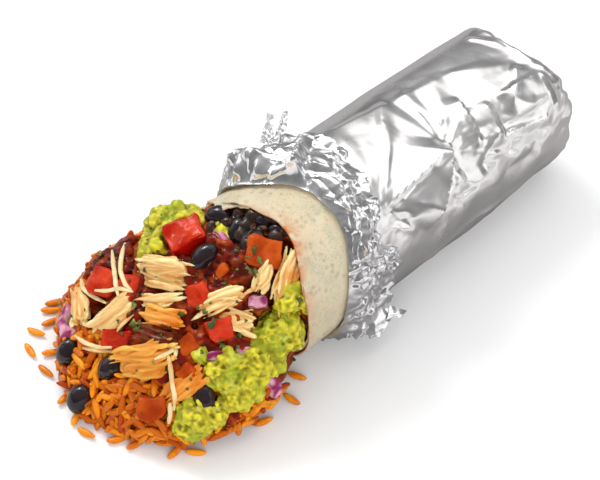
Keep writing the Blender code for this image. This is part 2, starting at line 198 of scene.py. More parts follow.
# The foil: kitchen foil rolled round the burrito, its closed end folded in, pulled into long creases that
# fan out from where it was pinched, and crumpled where it was twisted. It is one sheet of real thickness.

ROLL_LENGTH = 172 * MM
MOUTH_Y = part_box("foil_wrap")[1].y - ROLL_LENGTH
AXIS_X = 9 * MM
HALF_WIDTH_FRONT = 39 * MM
HALF_WIDTH_REAR = 34.5 * MM
SHEET = 0.15 * MM


def smooth_step(low, high, value):
    t = np.clip((value - low) / (high - low), 0, 1)
    return t * t * (3 - 2 * t)


def hill(angle, centre, width):
    """1 at an angle round the roll, near 0 past twice the width, all in degrees."""
    off = (angle - centre + 180) % 360 - 180
    return np.exp(-((off / width) ** 2))


def signed_power(value, exponent):
    return np.sign(value) * np.abs(value) ** exponent


def roll_points(angle, y, inset):
    """Places on the roll, for arrays of angles, of distances from the open end and of depths."""
    end = ROLL_LENGTH - inset
    rounding = np.clip(1 - (end - y) / (15 * MM), 0, 1)
    shrink = np.maximum(1 - rounding ** 2.6, 0) ** (1 / 2.6)
    c, s = np.cos(np.radians(angle)), np.sin(np.radians(angle))
    half_width = HALF_WIDTH_FRONT + (HALF_WIDTH_REAR - HALF_WIDTH_FRONT) * y / ROLL_LENGTH - inset
    half_height = half_width - 1.5 * MM
    across = half_width * shrink * signed_power(c, 2 / 2.3)
    up = half_height + inset - 2.5 * MM + half_height * shrink * signed_power(s, 2 / 2.3)
    squeeze = 5 * MM * hill(angle, 138, 40) * (1 - smooth_step(8 * MM, 100 * MM, y))
    lift = 3.4 * MM * (1 - smooth_step(15 * MM, 95 * MM, y))
    folded_in = rounding * (1.5 * MM + 7 * MM * hill(angle, 95, 30))
    up = np.maximum(up - squeeze * s, inset) + lift
    return np.stack([across - squeeze * c + AXIS_X, y - folded_in + MOUTH_Y, up], axis=-1)


def facets(u, v, cell, seed):
    """Heights from -1 to 1 that are flat between sharp creases, as in a crushed sheet."""
    rng = np.random.default_rng(seed)
    table = rng.random((64, 64)) * 2 - 1
    table[63], table[:, 63] = table[0], table[:, 0]  # it repeats without a step
    x, y = u / cell, v / cell
    skew = (x + y) * 0.36602540378
    i, j = np.floor(x + skew), np.floor(y + skew)
    fx, fy = x + skew - i, y + skew - j
    i, j = i.astype(int) % 63, j.astype(int) % 63
    lower = fx > fy
    near = np.where(lower, table[i + 1, j], table[i, j + 1])
    big, small = np.maximum(fx, fy), np.minimum(fx, fy)
    return table[i, j] * (1 - big) + near * (big - small) + table[i + 1, j + 1] * small


def waves(u, v, cell, seed):
    """Smooth heights from about -1 to 1."""
    rng = np.random.default_rng(seed)
    table = rng.random((64, 64)) * 2 - 1
    table[63], table[:, 63] = table[0], table[:, 0]  # it repeats without a step
    x, y = u / cell, v / cell
    i, j = np.floor(x), np.floor(y)
    fx, fy = x - i, y - j
    fx, fy = fx * fx * (3 - 2 * fx), fy * fy * (3 - 2 * fy)
    i, j = i.astype(int) % 63, j.astype(int) % 63
    return ((table[i, j] * (1 - fx) + table[i + 1, j] * fx) * (1 - fy)
            + (table[i, j + 1] * (1 - fx) + table[i + 1, j + 1] * fx) * fy)


def crease(u, v, start, end, height, left, right=None):
    """A sharp ridge (a valley if its height is negative) that slopes down over its own width on each side."""
    a, b = np.array(start, float), np.array(end, float)
    along = b - a
    length = np.hypot(*along)
    t = ((u - a[0]) * along[0] + (v - a[1]) * along[1]) / length ** 2
    off = ((v - a[1]) * along[0] - (u - a[0]) * along[1]) / length
    taper = np.clip(np.minimum(t * 6, (1 - t) * 4), 0, 1)
    width = np.where(off > 0, left, right or left) * (0.6 + 0.5 * np.clip(t, 0, 1))
    return height * taper * np.maximum(0, 1 - np.abs(off) / width) ** 1.2


def fan(u, v, centre, rays, reach):
    """Creases that run out from one pinched place: each ray has its direction in degrees and its height."""
    du, dv = u - centre[0], v - centre[1]
    across = np.hypot(du, dv) / reach
    swell = 4 * across * np.maximum(0, 1 - across)
    directions, heights = zip(*rays)
    return swell * np.interp(np.degrees(np.arctan2(dv, du)), directions, heights, period=360)


def get_points(obj):
    points = np.empty(len(obj.data.vertices) * 3, dtype=np.float32)
    obj.data.vertices.foreach_get("co", points)
    return points.reshape(-1, 3).astype(float)


def roll_sheet(name, columns, rows):
    """A grid primitive to bend into a tube whose side edges meet underneath; its columns go round."""
    deselect_all()
    bpy.ops.mesh.primitive_grid_add(x_subdivisions=columns, y_subdivisions=rows, size=2)
    obj = bpy.context.object
    obj.name = obj.data.name = name
    flat = get_points(obj)
    return obj, flat[:, 0] * 180 + 90, (flat[:, 1] + 1) / 2


def set_points(obj, points):
    obj.data.vertices.foreach_set("co", np.asarray(points, dtype=np.float32).ravel())
    obj.data.update()


def merge_doubles(obj, distance):
    bm = bmesh.new()
    bm.from_mesh(obj.data)
    bmesh.ops.remove_doubles(bm, verts=bm.verts, dist=distance)
    bmesh.ops.recalc_face_normals(bm, faces=bm.faces)
    bm.to_mesh(obj.data)
    bm.free()


def select_only(obj):
    deselect_all()
    obj.select_set(True)
    bpy.context.view_layer.objects.active = obj


def add_modifier(obj, kind, **settings):
    """Adds a modifier with its settings and applies it."""
    select_only(obj)
    modifier = obj.modifiers.new(kind, kind)
    for name, value in settings.items():
        setattr(modifier, name, value)
    bpy.ops.object.modifier_apply(modifier=modifier.name)


def smooth_by_angle(obj, degrees):
    select_only(obj)
    bpy.ops.object.shade_smooth_by_angle(angle=math.radians(degrees))


def round_roll(angle, per_degree):
    """Millimetres round the roll, up and over it from its right side, with the step down underneath."""
    return np.where(angle < -60, angle + 360, angle) * per_degree


def finish(obj, material, slot, *replaced):
    """Gives a piece its material and its body, and hides the CAD nodes it stands for. Its slot is not used.
    """
    obj.data.materials.clear()
    obj.data.materials.append(material)
    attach(obj, "root")
    if replaced:
        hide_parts(*replaced)


def foil_material(name, tone, roughness, fine):
    """Bright rolled aluminium with creases and rolling marks too small to model."""
    material, tree, shader, place = new_material(name, Metallic=1.0)
    warp = add_node(tree, "ShaderNodeTexNoise", Scale=70, Detail=3)
    blend = add_node(tree, "ShaderNodeMix", data_type="VECTOR", Factor=0.03)
    crackle = add_node(tree, "ShaderNodeTexVoronoi", Scale=150)
    tree.links.new(place, warp.inputs["Vector"])
    tree.links.new(place, blend.inputs["A"])
    tree.links.new(warp.outputs["Color"], blend.inputs["B"])
    tree.links.new(blend.outputs["Result"], crackle.inputs["Vector"])
    bump = add_node(tree, "ShaderNodeBump", Strength=fine, Distance=0.5 * MM)
    tree.links.new(crackle.outputs["Distance"], bump.inputs["Height"])
    tree.links.new(bump.outputs["Normal"], shader.inputs["Normal"])
    sheen = stretch(tree, warp.outputs["Fac"], 0.3, 0.7, roughness - 0.05, roughness + 0.07)
    tree.links.new(sheen, shader.inputs["Roughness"])
    dull = tuple(part * 0.93 for part in tone)
    colour_in(tree, shader, mix_colours(tree, warp.outputs["Fac"], dull, tone))
    return material


def foil_front(angle):
    return (17 + 11 * hill(angle, 62, 38) + 4 * hill(angle, 86, 12) - 5 * hill(angle, 130, 40)
            - 3 * hill(angle, 300, 40)) * MM


ROUND = 2 * math.pi * 37.5 / 360  # millimetres round the roll for one degree

# Where the sheet was pinched: angle round the roll and distance from the open end, how far its creases
# reach, and the direction and height of each, in degrees (0 is up and over the roll, 90 away from the
# open end) and millimetres.
FANS = (
    ((46, 46), 70, ((-40, 0.0), (-12, 0.2), (3, 0.5), (12, 0.1), (20, 0.5), (27, 0.1), (33, 0.2), (40, 0.0),
                    (46, 0.8), (51, 0.2), (59, 0.4), (66, 0.3), (74, 0.2), (82, 0.5), (86, -0.5), (100, -0.2),
                    (118, 0.3), (131, 0.9), (142, 0.0), (180, 0.0))),
    ((57, 91), 42, ((-180, 0.3), (-172, 0.7), (-163, -0.2), (-150, -0.3), (-138, 0.8), (-128, 0.5),
                    (-112, 0.1), (-104, -0.4), (-98, 0.4), (-88, 0.0), (-60, 0.0), (-30, 0.2), (-12, 0.3),
                    (0, -0.3), (14, 0.7), (22, 0.0), (40, 0.9), (52, -0.2), (70, -0.6), (95, -0.9),
                    (128, 0.5), (150, 0.0), (172, -0.2))),
    ((222, 70), 46, ((-180, 0.6), (-150, -0.6), (-120, 0.8), (-80, -0.4), (-40, 0.7), (0, -0.3), (30, 0.8),
                     (62, -0.7), (90, 0.8), (120, -0.3), (150, 0.4))),
    ((205, 128), 38, ((-180, 0.4), (-140, -0.5), (-95, 0.6), (-50, -0.5), (-10, 0.6), (40, -0.4), (80, 0.5),
                      (130, -0.6))),
    ((-24, 112), 40, ((-180, 0.4), (-150, -0.5), (-110, 0.5), (-70, 0.0), (-20, 0.4), (10, -0.5), (50, 0.5),
                      (95, -0.4), (140, 0.6))),
)
# Single creases: start, end, height and how far each slopes on its left and on its right.
CREASES = (
    ((46, 46), (57, 91), 1.0, 5, 8),
    ((60, 94), (14, 64), 7.2, 32, 3),
    ((70, 122), (34, 116), 2.8, 22, 5),
    ((84, 113), (42, 106), 2.6, 16, 3),
    ((80, 150), (50, 128), 2.4, 4, 16),
    ((46, 47), (106, 88), 0.7, 5, 3),
    ((92, 96), (57, 91), -0.9, 1.6, 4),
    ((76, 99), (56, 92), -0.7, 1.4, 4),
    ((70, 107), (56, 92), 0.7, 2, 6),
    ((110, 60), (100, 95), 0.8, 12, 5),
    ((103, 90), (96, 122), 0.8, 12, 5),
    ((98, 118), (80, 152), 0.9, 10, 5),
    ((122, 148), (94, 156), 0.9, 3.5, 5),
    ((64, 155), (26, 154), 1.4, 2.5, 5),
    ((66, 128), (62, 157), 1.6, 9, 3),
    ((47, 120), (30, 101), 0.9, 3, 6),
    ((46, 122), (44, 156), 1.0, 3, 10),
    ((40, 120), (27, 150), 0.9, 5, 3),
    ((36, 108), (12, 128), 0.8, 5, 3),
    ((31, 103), (8, 108), 0.8, 4, 4),
    ((38, 90), (20, 92), 0.9, 3, 5),
    ((24, 84), (8, 90), -0.8, 1.2, 2.5),
    ((32, 47), (16, 61), 1.0, 3, 4),
    ((44, 48), (28, 58), -0.8, 2, 3),
    ((20, 130), (2, 140), 0.7, 4, 3),
    ((-16, 56), (-8, 118), 0.7, 3, 3),
    ((-10, 96), (-12, 158), 0.7, 3, 4),
    ((162, 30), (192, 74), 1.3, 4, 9),
    ((190, 75), (244, 98), 1.1, 3, 8),
    ((164, 100), (202, 76), 1.2, 7, 3),
    ((202, 77), (206, 128), 1.3, 4, 9),
    ((158, 144), (206, 128), 1.2, 7, 3),
    ((206, 128), (254, 146), 1.0, 5, 9),
    ((176, 58), (180, 120), -0.8, 2.5, 5),
    ((214, 28), (242, 72), 1.0, 6, 3),
    ((156, 96), (168, 152), 0.9, 3, 7),
    ((228, 92), (222, 150), 0.9, 5, 3),
)

foil_sleeve, angle, t = roll_sheet("foil_sleeve", 300, 164)
front = foil_front(angle)
y = front + (ROLL_LENGTH - front) * (1 - (1 - t) ** 1.15)
points = roll_points(angle, y, 0)
v = y / MM
u = round_roll(angle, ROUND)
resting = 1 - hill(angle, 270, 22)
shown = hill(angle, 45, 48)  # the busier side
calm = 1 - 0.85 * hill(angle, 130, 32) + 0.7 * hill(angle, 225, 50)
twisted = 0.3 * np.exp(-((v - 104) / 12) ** 2) * hill(angle, 50, 18)
twisted += smooth_step(150, 166, v) * hill(angle, 60, 60)
twisted += 0.9 * np.exp(-((v - 142) / 13) ** 2) * hill(angle, 54, 9)
twisted += np.exp(-((v - 52) / 9) ** 2) * hill(angle, 24, 12)
bend_u = u + 5 * waves(u, v, 21, 3)
bend_v = v + 5 * waves(u, v, 19, 4)
low_side = hill(angle, 16, 22) * smooth_step(60, 90, v)
height = 0.8 * facets(bend_u, bend_v, 25, 11) * calm
height += 0.5 * facets(bend_u, bend_v, 11, 12) * (0.3 + 0.5 * shown + 1.1 * twisted + 1.9 * low_side) * calm
small = 0.05 + 0.2 * shown + 1.3 * twisted + 0.35 * low_side
height += 0.28 * facets(bend_u, bend_v, 5.2, 13) * small * calm
height += 0.12 * facets(bend_u, bend_v, 2.4, 14) * (0.05 + 0.1 * shown + 1.5 * twisted)
height -= 3.2 * smooth_step(122, 162, v) * hill(angle, 98, 26)  # the roll tapers there
for centre, reach, rays in FANS:
    height += fan(u, v, (centre[0] * ROUND, centre[1]), rays, reach)
for start, end, ridge, left, right in CREASES:
    start, end = (start[0] * ROUND, start[1]), (end[0] * ROUND, end[1])
    height += crease(u, v, start, end, ridge, left, right)
# Round the closed end the sheet gathers into pleats.
PLEATS = 21
end_share = smooth_step(150, 171, v)
pleats = 0.9 * np.abs(((angle + 9 * waves(u, v, 12, 6)) / 360 * PLEATS) % 1 - 0.5) * 2
height += end_share * (pleats - 0.5) * 1.6
height *= 1 - hill(angle, 300, 9)  # the sheet's edge lies flat underneath
out = np.stack([np.cos(np.radians(angle)), np.zeros_like(angle), np.sin(np.radians(angle))], axis=-1)
push = (height * resting * smooth_step(0, 4, (y - front) / MM))[:, None] * MM
lengthways = np.array([0, 1.0, 0]) * (end_share * height * 0.8 * MM)[:, None]
points = points + out * push * (1 - 0.7 * end_share)[:, None] + lengthways
points[:, 2] = np.maximum(points[:, 2], 0.05 * MM)
set_points(foil_sleeve, points)
merge_doubles(foil_sleeve, 0.02 * MM)
add_modifier(foil_sleeve, "SOLIDIFY", thickness=SHEET, offset=-1)
smooth_by_angle(foil_sleeve, 30)
rolled_foil = foil_material("rolled_foil", (0.93, 0.915, 0.905), 0.22, 0.06)
finish(foil_sleeve, rolled_foil, "foil_wrap", "foil_wrap")


# The foil's open end: its torn edge is folded back over the sleeve and crushed into a dense ruffle, with a
# flap that hangs down to the table and a few torn tips that stand up.


CUFF_ROUND = 0.72  # millimetres round the cuff for one degree
CUFF_LENGTH = 30  # millimetres


def cuff_back(angle):
    return (40 + 10 * hill(angle, 84, 26) + 4 * hill(angle, 120, 50) + 3 * hill(angle, 47, 10)
            + 4 * hill(angle, 350, 30) + 1.5 * np.sin(angle / 7)) * MM


def cuff_standoff(angle, t):
    """How far the cuff stands off the sleeve, from t = 0 at its torn edge to 1 at the fold."""
    off = 1.6 + 9.5 * hill(angle, 116, 22) + 1.6 * hill(angle, 148, 18) + 2.6 * hill(angle, 60, 36)
    off = off + 3 * hill(angle, 335, 22) * (1 - t)
    return (off * smooth_step(1.0, 0.78, t) * (0.2 + 0.8 * t) + 0.9 + 1.1 * smooth_step(1.0, 0.9, t)) * MM


foil_cuff, angle, along = roll_sheet("foil_cuff", 520, 76)
u = round_roll(angle, CUFF_ROUND)
w = along * CUFF_LENGTH
front, back = foil_front(angle), cuff_back(angle)
curl = np.clip(along / 0.12, 0, 1)  # 0 under the fold to 1 on top of it
t = np.clip(1 - (along - 0.12) / 0.88, 0, 1)
torn = 2.2 * facets(u, w * 0, 7, 31) + 1.3 * facets(u, w * 0, 2.6, 32) + 0.6 * facets(u, w * 0, 1.1, 33)
y = np.where(curl < 1, front - 1.6 * MM * np.sin(curl * math.pi / 2) + (1 - curl) * 3 * MM,
             front - 1.6 * MM * t ** 6 + (back + torn * MM - front) * (1 - t))
stand = np.where(curl < 1, (-1.1 + 2.0 * curl ** 2) * MM, cuff_standoff(angle, t))
# In the band on the right the folds run along the torn edge; the lobe on the left has bigger flat facets.
bend_u = u + 2.4 * waves(u, w, 9, 41) + 0.6 * waves(u, w, 3.1, 42)
bend_w = w + 1.6 * waves(u, w, 9, 43) + 0.16 * u + 0.5 * waves(u, w, 3.1, 44)
band = hill(angle, 38, 52)
lobe = hill(angle, 122, 34)
rim = hill(angle, 142, 20)
crushed = (0.5 + 0.9 * band) * facets(bend_u * 0.30, bend_w, 4.6, 51)
crushed += (0.15 + 0.3 * band) * facets(bend_u * 0.4, bend_w + 0.3 * u, 2.3, 52)
crushed += (1.2 + 1.3 * lobe) * facets(bend_u, bend_w, 9, 54)
crushed += (0.5 + 1.3 * lobe) * facets(bend_u, bend_w, 4.6, 55)
crushed += (0.10 + 0.40 * lobe + 0.35 * rim) * facets(bend_u, bend_w, 2.3, 56)
low = hill(angle, 345, 24)
crushed += low * (1.7 * facets(bend_u, bend_w, 6, 79) + 0.8 * facets(bend_u, bend_w, 2.8, 60))
swept = 1.2 * facets(bend_u * 0.4, bend_w, 6, 61) + 0.6 * facets(bend_u * 0.5, bend_w, 2.8, 62)
swept += 0.7 * rim * facets(bend_u, bend_w, 2.5, 63) + 1.4 * low * facets(bend_u, bend_w, 5, 70)
swept += lobe * 1.3 * facets(bend_u, bend_w, 4, 73)
front_wall = smooth_step(0.12, 0.2, along) * smooth_step(0.42, 0.3, along)
swept += front_wall * (0.2 + 2.0 * lobe) * facets(bend_u, bend_w * 2.2, 5, 64)
swept += front_wall * (0.2 + 1.2 * lobe) * facets(bend_u, bend_w * 2.2, 2.6, 65)
right_wall = front_wall * hill(angle, 12, 44)
swept += right_wall * 1.9 * facets(bend_u * 0.4, bend_w * 2.2, 5, 68)
swept += right_wall * 0.8 * facets(bend_u * 0.6, bend_w * 2.2, 2.6, 69)
knot = hill(angle, 14, 15)
swept += knot * (1.3 * facets(bend_u, bend_w, 3.4, 66) + 0.6 * facets(bend_u, bend_w, 1.7, 67))
CUFF_CREASES = (  # start, end, height and how far each slopes on its left and on its right
    ((88, 1), (114, 33), 3.4, 3.2, 2.6),
    ((83, 1), (109, 32), -1.8, 2.5, 2.5),
    ((14, 12), (60, 15), 1.6, 3.0, 2.0),
    ((58, 13), (92, 17), 1.6, 3.0, 2.0),
    ((10, 5), (50, 7), -1.2, 2.4, 2.0),
    ((48, 7), (88, 9), -1.1, 2.0, 2.0),
    ((20, 20), (80, 23), 1.2, 3.0, 2.0),
    ((104, 10), (150, 8), 1.8, 6.0, 3.0),
    ((155, 20), (112, 24), -1.5, 4.0, 4.0),
)
for start, end, ridge, left, right in CUFF_CREASES:
    start, end = (start[0] * CUFF_ROUND, start[1]), (end[0] * CUFF_ROUND, end[1])
    crushed += crease(u, w, start, end, ridge, left, right)
loose = smooth_step(0.02, 0.3, along)
crushed += knot * (1.5 * facets(bend_u, bend_w, 3.8, 57) + 0.7 * facets(bend_u, bend_w, 1.8, 58))
stand = np.maximum(stand + crushed * MM * loose, np.where(curl < 1, -1.1, 0.25 + 0.5 * loose) * MM)
y = y + swept * MM * loose
side = 0.8 * facets(bend_u + 40, bend_w, 8, 71) + 0.4 * facets(bend_u, bend_w + 30, 3.5, 72)
points = roll_points(angle + side * loose / CUFF_ROUND, y, -stand)
points[:, 2] = np.maximum(points[:, 2], 0.05 * MM)
set_points(foil_cuff, points)
merge_doubles(foil_cuff, 0.02 * MM)
CRUSHED_SHEET = 0.1 * MM
add_modifier(foil_cuff, "SOLIDIFY", thickness=CRUSHED_SHEET, offset=0)
smooth_by_angle(foil_cuff, 26)
crushed_foil = foil_material("crushed_foil", (0.91, 0.905, 0.91), 0.18, 0.05)
finish(foil_cuff, crushed_foil, "foil_cuff", "foil_cuff")


def at_mouth(x, distance, z):
    """A place given in millimetres from the middle of the open end."""
    return Vector((AXIS_X + x * MM, MOUTH_Y - distance * MM, z * MM))


# Loose ends of the cuff: two torn tips that stand up on the left, and the flap that droops on the right.
def foil_scrap(name, corners, cells, height, seed, fold=5.5):
    """A crumpled patch between four corners given from the mouth's middle, in millimetres."""
    deselect_all()
    bpy.ops.mesh.primitive_grid_add(x_subdivisions=cells, y_subdivisions=cells, size=2)
    scrap = bpy.context.object
    scrap.name = scrap.data.name = name
    flat = (get_points(scrap)[:, :2] + 1) / 2
    p, q = flat[:, :1], flat[:, 1:]
    a, b, c, d = (np.array(at_mouth(x, -y, z)) for x, y, z in corners)
    across = np.linalg.norm(b - a) / MM
    u, w = flat[:, 0] * across, flat[:, 1] * np.linalg.norm(d - a) / MM
    bend_u, bend_w = u + waves(u, w, 5, seed), w + waves(u, w, 5, seed + 1)
    rough = 0.6 * facets(bend_u, bend_w, fold, seed + 2) + 0.6 * waves(bend_u, bend_w, fold, seed + 6)
    rough += 0.2 * facets(bend_u, bend_w, fold * 0.44, seed + 3)
    torn = facets(u, w * 0, 2.2, seed + 4) * q[:, 0] * 0.12
    q = q * (1 + torn[:, None])
    points = a * (1 - p) * (1 - q) + b * p * (1 - q) + c * p * q + d * (1 - p) * q
    normal = np.cross(b - a, d - a)
    points = points + normal / np.linalg.norm(normal) * (rough * height * MM)[:, None]
    sideways = facets(bend_u, bend_w, 4, seed + 5) * height * 0.5 * MM
    points += (b - a) / np.linalg.norm(b - a) * sideways[:, None]
    points[:, 2] = np.maximum(points[:, 2], 0.1 * MM)
    set_points(scrap, points)
    add_modifier(scrap, "SOLIDIFY", thickness=CRUSHED_SHEET, offset=0)
    smooth_by_angle(scrap, 32)
    finish(scrap, crushed_foil, "foil_cuff")


foil_scrap("foil_tip_1", ((-30, 33, 69), (-25, 37, 69), (-28, 39.5, 84), (-30, 38, 84)), 24, 0.9, 110)
foil_scrap("foil_tip_2", ((-27, 38, 69), (-23, 41, 69), (-24.5, 44, 84), (-26, 43, 85)), 24, 0.7, 120)
foil_scrap("foil_flap", ((29.4, 25.2, 22.5), (42, 43.8, 14.4), (45, 30.1, 10.2), (37.5, 17.4, 14.7)), 64,
           1.1, 130, 8)
foil_scrap("foil_flap_point", ((39.3, 41.7, 16.5), (44.5, 47.2, 12.8), (44.6, 44, 11.5), (42, 37, 13.6)), 40,
           0.7, 150, 7)
foil_scrap("foil_under", ((18, 12, 5), (31, 26, 11), (33, 26, 2), (21, 13, 1)), 40, 0.9, 170)

# The tortilla: a soft wheat flatbread rolled round the filling in two turns, so its edge shows two thin
# layers. Sauce has soaked into the edge near the top, and the inner turn is crumpled on the left.


TORTILLA_ROUND = 0.62  # millimetres round the tortilla for one degree


def tortilla_rim(angle):
    return (-3.5 + 10 * hill(angle, 76, 34) + 9 * hill(angle, 175, 40)) * MM


def float_attribute(obj, name, values):
    layer = obj.data.attributes.new(name, "FLOAT", "POINT")
    layer.data.foreach_set("value", np.asarray(values, dtype=np.float32))


def tortilla_layer(name, depth, thickness, forward, crumple, seed):
    """One turn of the roll: its edge is rounded over and goes a little way in on the inner side."""
    obj, angle, along = roll_sheet(name, 460, 130)
    u = round_roll(angle, TORTILLA_ROUND)
    lip = 1.2 * waves(u, u * 0, 9, seed) + 0.5 * waves(u, u * 0, 3.3, seed + 1)
    lip += 0.25 * facets(u, u * 0, 1.4, seed + 2)
    rim = tortilla_rim(angle) - (forward(angle) + lip * (0.3 + crumple(angle))) * MM
    inside = np.clip(1 - along / 0.22, 0, 1)
    turn = np.clip((along - 0.22) / 0.08, 0, 1) * math.pi
    outside = np.clip((along - 0.30) / 0.70, 0, 1)
    y = rim + 26 * MM * inside + thickness / 2 * (1 - np.sin(turn)) * (outside == 0)
    y = np.where(outside > 0, rim + thickness / 2 + (ROLL_LENGTH - 5 * MM - rim) * outside ** 1.6, y)
    v = (y - rim) / MM
    deep = depth + thickness / 2 * (1 + np.cos(turn)) + 4.0 * MM * smooth_step(30, 60, v)
    ripple = 0.35 * waves(u, v, 13, seed + 3) + 0.16 * waves(u, v, 5, seed + 4)
    crumpled = 0.9 * waves(u, v, 4.5, seed + 5) + 0.35 * facets(u, v, 2.0, seed + 6)
    ripple += crumple(angle) * np.exp(-v / 5) * crumpled
    points = roll_points(angle, y, deep - ripple * MM)
    points[:, 2] = np.maximum(points[:, 2], 0.3 * MM)
    set_points(obj, points)
    float_attribute(obj, "rim_distance", v)
    float_attribute(obj, "sauced", np.clip(hill(angle, 66, 24) + 0.5 * hill(angle, 20, 30), 0, 1)
                    * np.exp(-np.maximum(v, 0) / 3.0) + 0.8 * (turn < 1.2) * (outside == 0))
    merge_doubles(obj, 0.02 * MM)
    obj.data.shade_smooth()
    return obj


def noise(tree, place, scale, detail=3.0, low=0.4, high=0.6):
    """Noise stretched between two values to a mask from 0 to 1."""
    node = add_node(tree, "ShaderNodeTexNoise", Scale=scale, Detail=detail)
    tree.links.new(place, node.inputs["Vector"])
    return stretch(tree, node.outputs["Fac"], low, high)


def dots(tree, place, scale, size, soft=0.06):
    """Round specks of about the same size, as a mask."""
    node = add_node(tree, "ShaderNodeTexVoronoi", Scale=scale)
    tree.links.new(place, node.inputs["Vector"])
    return stretch(tree, node.outputs["Distance"], size + soft, size)


def times(tree, first, second):
    return calculate(tree, "MULTIPLY", first, second)


def mottle(tree, place, colour, patch, scale, detail, low, high, share=1.0):
    """A colour with patches of another one in it, each a socket or three numbers."""
    mask = noise(tree, place, scale, detail, low, high)
    if share < 1:
        mask = times(tree, mask, share)
    return mix_colours(tree, mask, colour, patch)


def attribute(tree, name):
    return add_node(tree, "ShaderNodeAttribute", attribute_name=name).outputs["Fac"]


def bumps(tree, shader, place, *layers):
    """Bumps in a chain, each a noise's scale and detail, a strength and a depth in millimetres."""
    last = None
    for scale, detail, strength, depth in layers:
        bump = add_node(tree, "ShaderNodeBump", Strength=strength, Distance=depth * MM)
        tree.links.new(noise(tree, place, scale, detail, 0.3, 0.7), bump.inputs["Height"])
        if last:
            tree.links.new(last, bump.inputs["Normal"])
        last = bump.outputs["Normal"]
    tree.links.new(last, shader.inputs["Normal"])


flatbread, tree, shader, place = new_material("soft_tortilla", Roughness=0.6, Specular_IOR_Level=0.2,
                                              Subsurface_Weight=0.25, Subsurface_Scale=0.004)
colour = mottle(tree, place, (0.70, 0.59, 0.41), (0.64, 0.57, 0.41), 55, 4.0, 0.35, 0.65)
colour = mottle(tree, place, colour, (0.50, 0.48, 0.35), 150, 4.0, 0.46, 0.66, 0.5)
colour = mottle(tree, place, colour, (0.66, 0.50, 0.31), 45, 5.0, 0.54, 0.72, 0.5)
spotted = times(tree, dots(tree, place, 330, 0.16, 0.3), noise(tree, place, 120, 2.0, 0.40, 0.6))
colour = mix_colours(tree, times(tree, spotted, 0.5), colour, (0.30, 0.28, 0.19))
spotted = times(tree, dots(tree, place, 900, 0.20, 0.2), noise(tree, place, 90, 2.0, 0.42, 0.55))
colour = mix_colours(tree, times(tree, spotted, 0.4), colour, (0.30, 0.26, 0.17))
stain = times(tree, attribute(tree, "sauced"), noise(tree, place, 260, 4.0, 0.30, 0.55))
colour = mix_colours(tree, stain, colour, (0.60, 0.13, 0.008))
colour_in(tree, shader, colour)
bumps(tree, shader, place, (90, 3.0, 0.25, 0.8), (420, 4.0, 0.35, 0.25))

tortilla = tortilla_layer("tortilla_outer", 1.15 * MM, 1.15 * MM, lambda angle: 0 * angle,
                          lambda angle: 0.9 * hill(angle, 130, 30), 80)
tortilla_inner = tortilla_layer(
    "tortilla_inner", 2.45 * MM, 1.05 * MM,
    lambda angle: 1.0 * hill(angle, 10, 45) + 2.6 * hill(angle, 128, 22) + 5.0 * hill(angle, 152, 16) - 1.2,
    lambda angle: 0.25 + 1.9 * hill(angle, 135, 32), 90)
finish(tortilla, flatbread, "tortilla", "tortilla")
finish(tortilla_inner, flatbread, "tortilla")

# The rice: long grains cooked in a red-orange tomato sauce, spilt in a heap in front of the open end. A
# lumpy core stands in for the grains that can't be seen, and the loose grains lie over it and beside it.


def noise_3d(points, cell, seed):
    """Smooth noise from about -1 to 1 in space, turned at random so that its grid doesn't show."""
    rng = np.random.default_rng(seed)
    table = rng.random((32, 32, 32)) * 2 - 1
    table[31], table[:, 31], table[:, :, 31] = table[0], table[:, 0], table[:, :, 0]
    place = points @ np.linalg.qr(rng.normal(size=(3, 3)))[0] / cell
    low = np.floor(place)
    f = place - low
    f = f * f * (3 - 2 * f)
    i = low.astype(int) % 31
    total = 0
    for corner in range(8):
        a, b, c = corner & 1, corner >> 1 & 1, corner >> 2
        weight = 1
        for axis, upper in enumerate((a, b, c)):
            weight = weight * (f[:, axis] if upper else 1 - f[:, axis])
        total = total + weight * table[i[:, 0] + a, i[:, 1] + b, i[:, 2] + c]
    return total


def get_normals(obj):
    normals = np.empty(len(obj.data.vertices) * 3, dtype=np.float32)
    obj.data.vertices.foreach_get("normal", normals)
    return normals.reshape(-1, 3).astype(float)


def remesh(obj, voxel):
    add_modifier(obj, "REMESH", mode="VOXEL", voxel_size=voxel)


def cad_copy(name, node):
    """A CAD node's mesh, merged, as a new object whose place is in its mesh."""
    obj = bpy.data.objects.new(name, nodes[node].data.copy())
    bpy.context.scene.collection.objects.link(obj)
    obj.data.transform(nodes[node].matrix_world)
    obj.data.materials.clear()
    merge_doubles(obj, 0.01 * MM)
    return obj


def tree_of(node):
    """A search tree over a CAD node in world space."""
    mesh, matrix = nodes[node].data, nodes[node].matrix_world
    return BVHTree.FromPolygons([matrix @ vert.co for vert in mesh.vertices],
                                [tuple(face.vertices) for face in mesh.polygons])


rice_tree = tree_of("rice_filling")
TOPPINGS = [name for name in nodes if name.split("_")[0] in ("bean", "chicken", "tomato", "red")]
topping_trees = [(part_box(name), tree_of(name)) for name in TOPPINGS]
guacamole_trees = [(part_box(name), tree_of(name)) for name in ("guacamole_left", "guacamole_right")]

